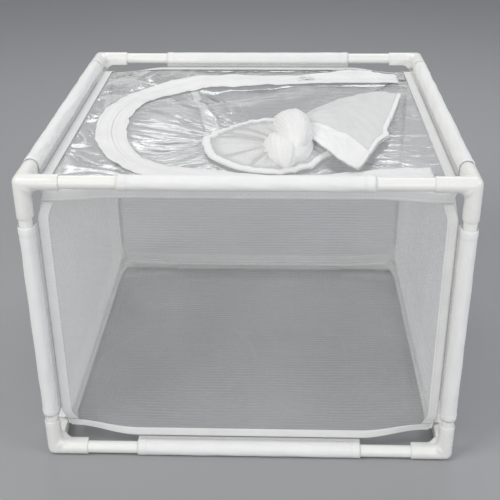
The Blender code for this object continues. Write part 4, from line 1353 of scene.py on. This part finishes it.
arch_foot = PLATE_HEIGHTS[1] - 0.0003
arch_rows = []
for step in range(21):
    turn = math.pi * step / 20
    out = Vector((math.cos(turn), 0, math.sin(turn)))
    reach_x, reach_up = ARCH_REACH[0] * math.cos(turn), ARCH_REACH[1] * math.sin(turn)
    centre = Vector((SLIDER_X + reach_x, ZIP_BACK, arch_foot + reach_up))
    row = []
    for a in circle(ARCH_SIDES):
        row.append(centre + out * ARCH_HALF[0] * math.cos(a) + Vector((0, ARCH_HALF[1] * math.sin(a), 0)))
    arch_rows.append(row)
arch = loft("slider_arch", arch_rows, wrap=True, finish=enamel)
cap_ends(arch, ARCH_SIDES)
slider = join([top_plate, foot, web, arch])
sharpen(slider.data, 40)
settle(slider, "slider", "zip_slider")
print("slider:", len(slider.data.polygons), "faces")

# %% Pull, with its eye and its window
PULL_HEIGHTS = (0.286027, 0.286927)
CUTTER_HEIGHTS = (0.2855, 0.2875)
PULL_MIDDLE = 0.00695
PULL_HALF = (0.0074, 0.003)
PULL_BEVEL = 0.00025
EYE_BOX = (0.00045, 0.0042, 0.0013)
WINDOW_MIDDLE = 0.0095
WINDOW_HALF = (0.0026, 0.0012)
pull_places = []
for turn in circle(48):
    x, y = squarish(turn, 0.55)
    width = PULL_HALF[1] - 0.0007 * smooth_step((0.35 - abs(x + 0.05)) / 0.5)
    pull_places.append((PULL_MIDDLE + PULL_HALF[0] * x, width * y))
pull = drawn_out("pull_tab", around_slider(pull_places), PULL_HEIGHTS, PULL_BEVEL)
window_places = []
for a in circle(16):
    window_places.append((WINDOW_MIDDLE + WINDOW_HALF[0] * math.cos(a), WINDOW_HALF[1] * math.sin(a)))
cutters = [
    drawn_out("pull_eye_cutter", box_outline(*EYE_BOX), CUTTER_HEIGHTS),
    drawn_out("pull_window_cutter", around_slider(window_places), CUTTER_HEIGHTS),
]
for cutter in cutters:
    hole = pull.modifiers.new(cutter.name, "BOOLEAN")
    hole.operation = "DIFFERENCE"
    hole.object = cutter
    hole.solver = "EXACT"
make_real(pull)
for cutter in cutters:
    bpy.data.objects.remove(cutter, do_unlink=True)
settle(pull, "pull", "zip_pull")
print("pull:", len(pull.data.polygons), "faces")

# %% [markdown]
# ## The access sleeve: hem ring and skirt
#
# A tube of thin voile, 408 mm round, is sewn to a hole in the door. A hem like a soft ring holds its root
# open. From there the cloth is gathered in to the knot, so it folds into pleats that all run to it. The
# cloth doesn't get smaller towards the knot, so its folds get deeper, and the mesh's do too.

# %% Hem ring
RING_MIDDLE = 0.285827
RING_STEPS = 260
RING_SIDES = 16
RING_HALF_WIDTH = 0.00384
RING_HALF_HEIGHT = 0.0021
RING_GIRTH = 0.402

ring_rows = []
for turn in circle(RING_STEPS):
    out_x, out_y = math.cos(turn), math.sin(turn)
    reach = ring_reach(turn) + 0.0017 * bumpy_round(turn, 7, 0.0, 11)
    reach += 0.0022 * (ridge(bumpy_round(turn, 3.2, 0.0, 41)) - 0.5)
    x, y = RING_X + reach * out_x, RING_Y + reach * out_y
    middle = RING_MIDDLE + roof_sag(x, y) + 0.0003 + 0.0006 * bumpy_round(turn, 7, 0.0, 19)
    thin = 1 - 0.35 * smooth_step((out_y - 0.3) / 0.5)
    row = []
    for a in circle(RING_SIDES):
        lump = 1 + 0.22 * bumpy_round(turn, 16, 0.8 * math.cos(a), 12)
        lump += 0.12 * ridge(bumpy_round(turn, 34, 0.5 * math.sin(a), 22))
        side, up = squarish(a, 0.8)
        out = thin * RING_HALF_WIDTH * lump * side
        row.append(Vector((x + out * out_x, y + out * out_y, middle + RING_HALF_HEIGHT * lump * up)))
    ring_rows.append(row)


def ring_map(i, j):
    return 0.001 * j, RING_GIRTH * i / RING_STEPS


hem_ring = loft("hem_ring", ring_rows, ring_map, wrap=True, ring=True, finish=hemmed_voile)
settle(hem_ring, "door", "sleeve_ring")
print("hem ring:", round(2000 * RING_RADIUS), "mm across")

# %% Gathered skirt
SKIRT_COLUMNS = 420
SKIRT_LEVELS = 26
SKIRT_PLEATS = 12
SKIRT_ROUND = 0.408
SKIRT_LONG = 0.045
COLLAR = Vector((0.030, -0.088, ROOF + 0.0065))
COLLAR_RADIUS = 0.0095
SKIRT_INSET = 0.0035
skirt_rows = []
doubled = []
for level in range(SKIRT_LEVELS + 1):
    share = level / SKIRT_LEVELS
    row = []
    for turn in circle(SKIRT_COLUMNS):
        radius = (ring_reach(turn) - SKIRT_INSET) * (1 - share) + COLLAR_RADIUS * share
        x = RING_X + (COLLAR.x - RING_X) * share + radius * math.cos(turn)
        y = RING_Y + (COLLAR.y - RING_Y) * share + radius * math.sin(turn)
        base = (RING_MIDDLE + 0.0004 + roof_sag(x, y)) * (1 - share) + COLLAR.z * share
        phase = SKIRT_PLEATS * turn / 2 + 2.4 * bumpy_round(turn, 1.7, 0.4 * share, 13)
        strong = 0.7 + 0.8 * bumpy_round(turn, 3, 0.5 * share, 14)
        depth = 0.0085 * strong * smooth_step(0.2 + 1.6 * share) * (1 - 0.45 * share)
        crisp = abs(math.sin(phase)) ** 0.7
        small = 0.0009 * bumpy_round(turn, 22, 2 * share, 24) * smooth_step(4 * share)
        row.append(Vector((x, y, base + max(-0.0012, depth * (crisp - 0.45)) + small)))
        folded_under = smooth_step((0.62 - crisp * strong) / 0.1)
        doubled.append((0.95 * folded_under + 0.25 * share) * smooth_step(5 * share))
    skirt_rows.append(row)


def skirt_map(i, j):
    return SKIRT_ROUND * j / SKIRT_COLUMNS, SKIRT_LONG * i / SKIRT_LEVELS


skirt = loft("gathered_skirt", skirt_rows, skirt_map, wrap=True, finish=skirt_voile)
store(skirt, "doubled", doubled)
settle(skirt, "door", "sleeve_skirt")
print("skirt area, in square mm:", round(1e6 * sum(face.area for face in skirt.data.polygons)))

# %% [markdown]
# ## The knot
#
# The gathered cloth is tied in an overhand knot: a thick rope of pleats that passes over itself. Two lobes
# show, one low at the front left and one over it at the right, and the tail leaves between them. Each is a
# pleated rope swept along its own path, and so are the crossing and the neck of the tail. A voxel remesh
# then makes one skin, which keeps the creases.

# %% The run of the knot
LOW_LOBE = [
    (0.0300, -0.072, 0.002, 0.0100),
    (0.0290, -0.084, 0.004, 0.0150),
    (0.0305, -0.095, 0.004, 0.0172),
    (0.0320, -0.105, 0.003, 0.0165),
    (0.0335, -0.113, 0.000, 0.0130),
    (0.0340, -0.118, -0.004, 0.0080),
    (0.0340, -0.121, -0.007, 0.0030),
]
HIGH_LOBE = [
    (0.0435, -0.109, 0.006, 0.0025),
    (0.0435, -0.105, 0.010, 0.0070),
    (0.0435, -0.099, 0.0150, 0.0112),
    (0.0425, -0.087, 0.0185, 0.0155),
    (0.0400, -0.072, 0.0185, 0.0178),
    (0.0390, -0.058, 0.0150, 0.0170),
    (0.0420, -0.045, 0.0070, 0.0120),
]
CROSSING = [
    (0.037, -0.107, 0.001, 0.0112),
    (0.046, -0.103, 0.002, 0.0108),
    (0.0510, -0.095, 0.005, 0.0092),
    (0.053, -0.081, 0.008, 0.0090),
    (0.053, -0.068, 0.010, 0.0105),
]
NECK_OF_TAIL = [
    (0.044, -0.064, 0.010, 0.0115),
    (0.052, -0.060, 0.010, 0.0118),
    (0.060, -0.058, 0.008, 0.0085),
]


def through(points, share):
    """A place on the smooth curve through a list of points."""
    spans = len(points) - 1
    at = min(spans - 1e-6, max(0.0, share * spans))
    index = int(at)
    t = at - index
    p = [points[min(max(index + k, 0), spans)] for k in (-1, 0, 1, 2)]
    return [
        0.5 * (2 * b + (c - a) * t + (2 * a - 5 * b + 4 * c - d) * t * t + (3 * b - a - 3 * c + d) * t**3)
        for a, b, c, d in zip(*p)
    ]


# %% Overhand knot
ROPE_STEPS = 70
ROPE_SIDES = 110
ROPE_FLAT = 0.82
SKIN_STEP = 0.0005


def pleated_rope(name, path, pleats, twist, seed):
    """A rope of cloth along a path of (x, y, height over the roof, radius), with pleats along it."""
    rows = []
    guide = Vector((0, 0, 1))
    for step in range(ROPE_STEPS + 1):
        share = step / ROPE_STEPS
        x, y, z, radius = through(path, share)
        ahead, back = through(path, min(1.0, share + 0.01)), through(path, max(0.0, share - 0.01))
        forward = (Vector(ahead[:3]) - Vector(back[:3])).normalized()
        guide = (guide - forward * guide.dot(forward)).normalized()
        aside = forward.cross(guide)
        row = []
        for a in circle(ROPE_SIDES):
            turned = a + twist * share
            shift = 3.6 * bumpy_round(turned, 1.9, 0.9 * share, seed)
            crisp = abs(math.sin(pleats * turned / 2 + shift)) ** 0.6
            broad = bumpy_round(turned, 1.8, 1.6 * share, seed + 1)
            fine = bumpy_round(turned, 9, 2.5 * share, seed + 2)
            size = radius * (0.93 + 0.065 * crisp + 0.12 * broad + 0.05 * fine)
            out = aside * math.cos(a) + ROPE_FLAT * guide * math.sin(a)
            row.append(Vector((x, y, ROOF + z)) + size * out)
        rows.append(row)
    rope = loft(name, rows, wrap=True, finish=knotted_voile)
    cap_ends(rope, ROPE_SIDES)
    return rope


knot = join(
    [
        pleated_rope("overhand_knot", LOW_LOBE, 22, 0.6, 31),
        pleated_rope("knot_high_lobe", HIGH_LOBE, 28, -0.6, 33),
        pleated_rope("knot_crossing", CROSSING, 16, 0.4, 37),
        pleated_rope("knot_tail_neck", NECK_OF_TAIL, 13, 0.3, 35),
    ]
)
remesh = knot.modifiers.new("One skin", "REMESH")
remesh.mode = "VOXEL"
remesh.voxel_size = SKIN_STEP
soften = knot.modifiers.new("Soften", "SMOOTH")
soften.factor = 0.5
soften.iterations = 1
make_real(knot)
knot.data.shade_smooth()
settle(knot, "door", "sleeve_knot")
places = [point.co for point in knot.data.vertices]
spans = [max(axis) - min(axis) for axis in zip(*places)]
print("knot, in mm:", [round(1000 * span) for span in spans])

# %% [markdown]
# ## The loose tail
#
# Past the knot the tube of voile fans out flat, two layers thick, and lies across the ring and the roof
# to the right. Its front edge is folded over in a band, and its end has a turned hem. Both have more
# layers, so they are whiter and let no light through. One strip of cloth makes all the layers, as in the
# real one.

# %% The run and the layers of the tail
TAIL_BACK = [
    (0.048, -0.050, 0.014),
    (0.063, -0.024, 0.017),
    (0.086, 0.004, 0.018),
    (0.110, 0.033, 0.014),
    (0.131, 0.058, 0.009),
    (0.148, 0.070, 0.0035),
    (0.161, 0.067, 0.0015),
]
TAIL_FRONT = [
    (0.050, -0.078, 0.009),
    (0.059, -0.090, 0.009),
    (0.070, -0.104, 0.007),
    (0.080, -0.117, 0.005),
    (0.090, -0.130, 0.004),
    (0.099, -0.142, 0.003),
]
TAIL_LEVELS = 70
TAIL_LAYERS = 60
BAND_STEPS = 20
HEM_START = 0.93
HEM_BOW = 0.0065
HEM_LUMP = 0.006
LAYER_STEP = {0: 0.0, 1: 0.0009, 2: 0.0024}
TAIL_LONG = 0.080
TAIL_CLOTH = 0.0003


def tail_band(share):
    """The part of the tail's width that is folded over: a strip of about the same width all along."""
    return 0.42 - 0.28 * share


def tail_section(count):
    """Across the tail, as (share of the width, layer): under, round the back, over, and the folded band."""
    lower = [(step / count, 0.0) for step in range(count + 1)]
    upper = [(1 - step / count, 1.0) for step in range(1, count + 1)]
    folded = [(step / BAND_STEPS, 2.0) for step in range(BAND_STEPS + 1)]
    return lower + upper + folded


def tail_height(x, y):
    """The height of what the tail lies on: the roof, and the ring where it crosses that."""
    over_ring = 0.0046 * smooth_step(1.7 - abs(from_ring(x, y)) / 0.0045)
    return ROOF + roof_sag(x, y) + 0.0006 + over_ring


# %% Tail
tail_rows = []
for level in range(TAIL_LEVELS + 1):
    share = level / TAIL_LEVELS
    back, front = through(TAIL_BACK, share), through(TAIL_FRONT, share)
    gather = (1 - share) ** 1.3
    row = []
    for across, layer in tail_section(TAIL_LAYERS):
        if layer == 2:
            across *= tail_band(share)
        x = front[0] + (back[0] - front[0]) * across
        y = front[1] + (back[1] - front[1]) * across
        lump = HEM_LUMP * math.exp(-(((across - 0.36) / 0.06) ** 2))
        x += share**3 * (HEM_BOW * math.sin(math.pi * across**0.75) + share**5 * lump)
        held_up = front[2] + (back[2] - front[2]) * across**1.6
        puff = (0.004 * (1 - share) + 0.0010) * math.sin(math.pi * min(1.0, max(0.0, across))) ** 0.7
        pleats = 0.0030 * gather * (ridge(bumpy(11 * across, 1.2 * share, 0.3 * layer, 17)) - 0.4)
        soft = 0.0022 * share * (0.4 + bumpy(3.2 * across + 1.5 * share, 2.5 * share, 0.15 * layer, 18))
        crease = 0.0010 * ridge(bumpy(9 * across + 6 * share, 5 * share, 0.2 * layer, 27))
        hem = 0.0011 * smooth_step((share - HEM_START) / 0.01) if layer >= 1 else 0.0
        rim = 0.0008 * smooth_step((share - HEM_START) / 0.02) * bumpy(26 * across, 0.0, 0.0, 28)
        puff *= 1 if layer >= 1 else 0.25
        lift = held_up + LAYER_STEP[layer] + puff + pleats + soft + crease + hem + rim
        laid = ROOF + share * roof_sag(x, y) + lift
        z = max(tail_height(x, y) + LAYER_STEP[layer] + hem, laid)
        row.append(Vector((x, y, z)))
    tail_rows.append(row)
sections = tail_section(TAIL_LAYERS)


def tail_map(i, j):
    return 0.2 * sections[j][0] + 0.2 * sections[j][1], TAIL_LONG * i / TAIL_LEVELS


tail = loft("voile_tail", tail_rows, tail_map, finish=voile)
tail.data.materials.append(hemmed_voile)
columns_across = len(sections) - 1
for face in tail.data.polygons:
    in_hem = face.index // columns_across >= HEM_START * TAIL_LEVELS
    in_band = sections[face.index % columns_across][1] == 2
    face.material_index = 1 if in_hem or in_band else 0
thicken(tail, TAIL_CLOTH)
settle(tail, "door", "sleeve_tail")
print("tail area, in square mm:", round(1e6 * sum(face.area for face in tail.data.polygons)))

# %% [markdown]
# ## Floor, light and camera
#
# The set is a pale floor and soft light: a large lamp high on the left as the key, a weaker one on the
# right, a low one in front, one behind, and a pale room all round. White pieces need a floor a little
# darker than they are to stand out.

# %% Floor
FLOOR_HALF = 8.0
FLOOR_LEVEL = -0.0002
floor_mesh = bpy.data.meshes.new("studio_floor")
corners = [(x * FLOOR_HALF, y * FLOOR_HALF, FLOOR_LEVEL) for x, y in ((-1, -1), (1, -1), (1, 1), (-1, 1))]
floor_mesh.from_pydata(corners, [], [(0, 1, 2, 3)])
floor = new_object("studio_floor", floor_mesh)
floor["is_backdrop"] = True
painted_floor, tree, shader = new_finish("matt_painted_floor", 0.9)
place = add_node(tree, "TexCoord").outputs["Object"]
grain = add_node(tree, "TexNoise", {"Scale": 1000 / 300, "Detail": 2.0}, {"Vector": place})
tones = {"data_type": "RGBA", 6: linear("A4A5A7"), 7: linear("A8A9AB")}
connect(tree, add_node(tree, "Mix", tones, {0: grain}), shader.inputs["Base Color"])
shader.inputs["Specular IOR Level"].default_value = 0.1
floor_mesh.materials.append(painted_floor)
print("floor:", round(2 * FLOOR_HALF), "m wide")

# %% World and lamps
world = bpy.data.worlds.new("studio")
world.use_nodes = True
bpy.context.scene.world = world
tree = world.node_tree
light = tree.nodes["Background"]
light.inputs["Color"].default_value = linear("F4F6FA")
light.inputs["Strength"].default_value = 0.4
room = add_node(tree, "Background", {"Color": linear("C9CACC"), "Strength": 1.0})
path = add_node(tree, "LightPath")
seen = {0: path.outputs["Is Camera Ray"], 1: path.outputs["Is Glossy Ray"]}
seen = add_node(tree, "Math", {"operation": "MAXIMUM"}, seen)
seen = add_node(tree, "Math", {"operation": "MAXIMUM"}, {0: seen, 1: path.outputs["Is Transmission Ray"]})
mixed = add_node(tree, "MixShader", {}, {0: seen, 1: light, 2: room})
connect(tree, mixed, tree.nodes["World Output"].inputs["Surface"])


def softbox(name, place, target, size, power, tint):
    data = bpy.data.lights.new(name, "AREA")
    data.shape = "RECTANGLE"
    data.size, data.size_y = size
    data.energy = power
    data.color = linear(tint)[:3]
    lamp = new_object(name, data)
    lamp.location = place
    lamp.rotation_euler = (Vector(target) - Vector(place)).to_track_quat("-Z", "Y").to_euler()


softbox("key_softbox", (-1.0, -0.9, 1.5), (0, 0, 0.15), (0.8, 0.8), 13.5, "FFFDF8")
softbox("fill_softbox", (1.3, -0.8, 1.0), (0, 0, 0.15), (0.8, 0.6), 7, "F8FBFF")
softbox("front_softbox", (0.0, -2.0, 0.55), (0, 0, 0.15), (1.8, 0.6), 9.0, "FFFFFF")
softbox("back_softbox", (0.1, 1.0, 1.4), (0, 0, 0.2), (1.4, 0.5), 7.5, "FFFFFF")
print("lamps:", len(bpy.data.lights))

# %% [markdown]
# The camera stands where the photographer's did. Its place, tilt and focal length were solved from the
# edges of the pipes in the photo. They are given here as three angles, a place and a length in pixels.

# %% Camera
PITCH = math.radians(27.440)
YAW = math.radians(2.121)
ROLL = math.radians(-0.497)
FOCAL_PIXELS = 911.47
IMAGE_PIXELS = 500
SENSOR_MM = 36
CAMERA_PLACE = (0.02942, -0.90363, 0.59863)
level_right, level_up = Vector((1, 0, 0)), Vector((0, math.sin(PITCH), math.cos(PITCH)))
right = math.cos(ROLL) * level_right + math.sin(ROLL) * level_up
up = math.cos(ROLL) * level_up - math.sin(ROLL) * level_right
forward = Vector((0, math.cos(PITCH), -math.sin(PITCH)))
turned = Matrix.Rotation(YAW, 3, "Z") @ Matrix((right, up, -forward)).transposed()
camera_data = bpy.data.cameras.new("camera")
camera_data.sensor_width = SENSOR_MM
camera_data.lens = SENSOR_MM * FOCAL_PIXELS / IMAGE_PIXELS
camera_data.clip_start = 0.05
camera = new_object("camera", camera_data)
camera.matrix_world = Matrix.Translation(CAMERA_PLACE) @ turned.to_4x4()
bpy.context.scene.camera = camera
bpy.context.scene.view_settings.view_transform = "Standard"
print("lens, mm:", round(camera_data.lens, 1))

# %% Sizes, and the last line
low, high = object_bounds()
{"cad": [list(cad_low), list(cad_high)], "visual": [list(low), list(high)]}
print("visual box, mm:", [round(1000 * size) for size in high - low])
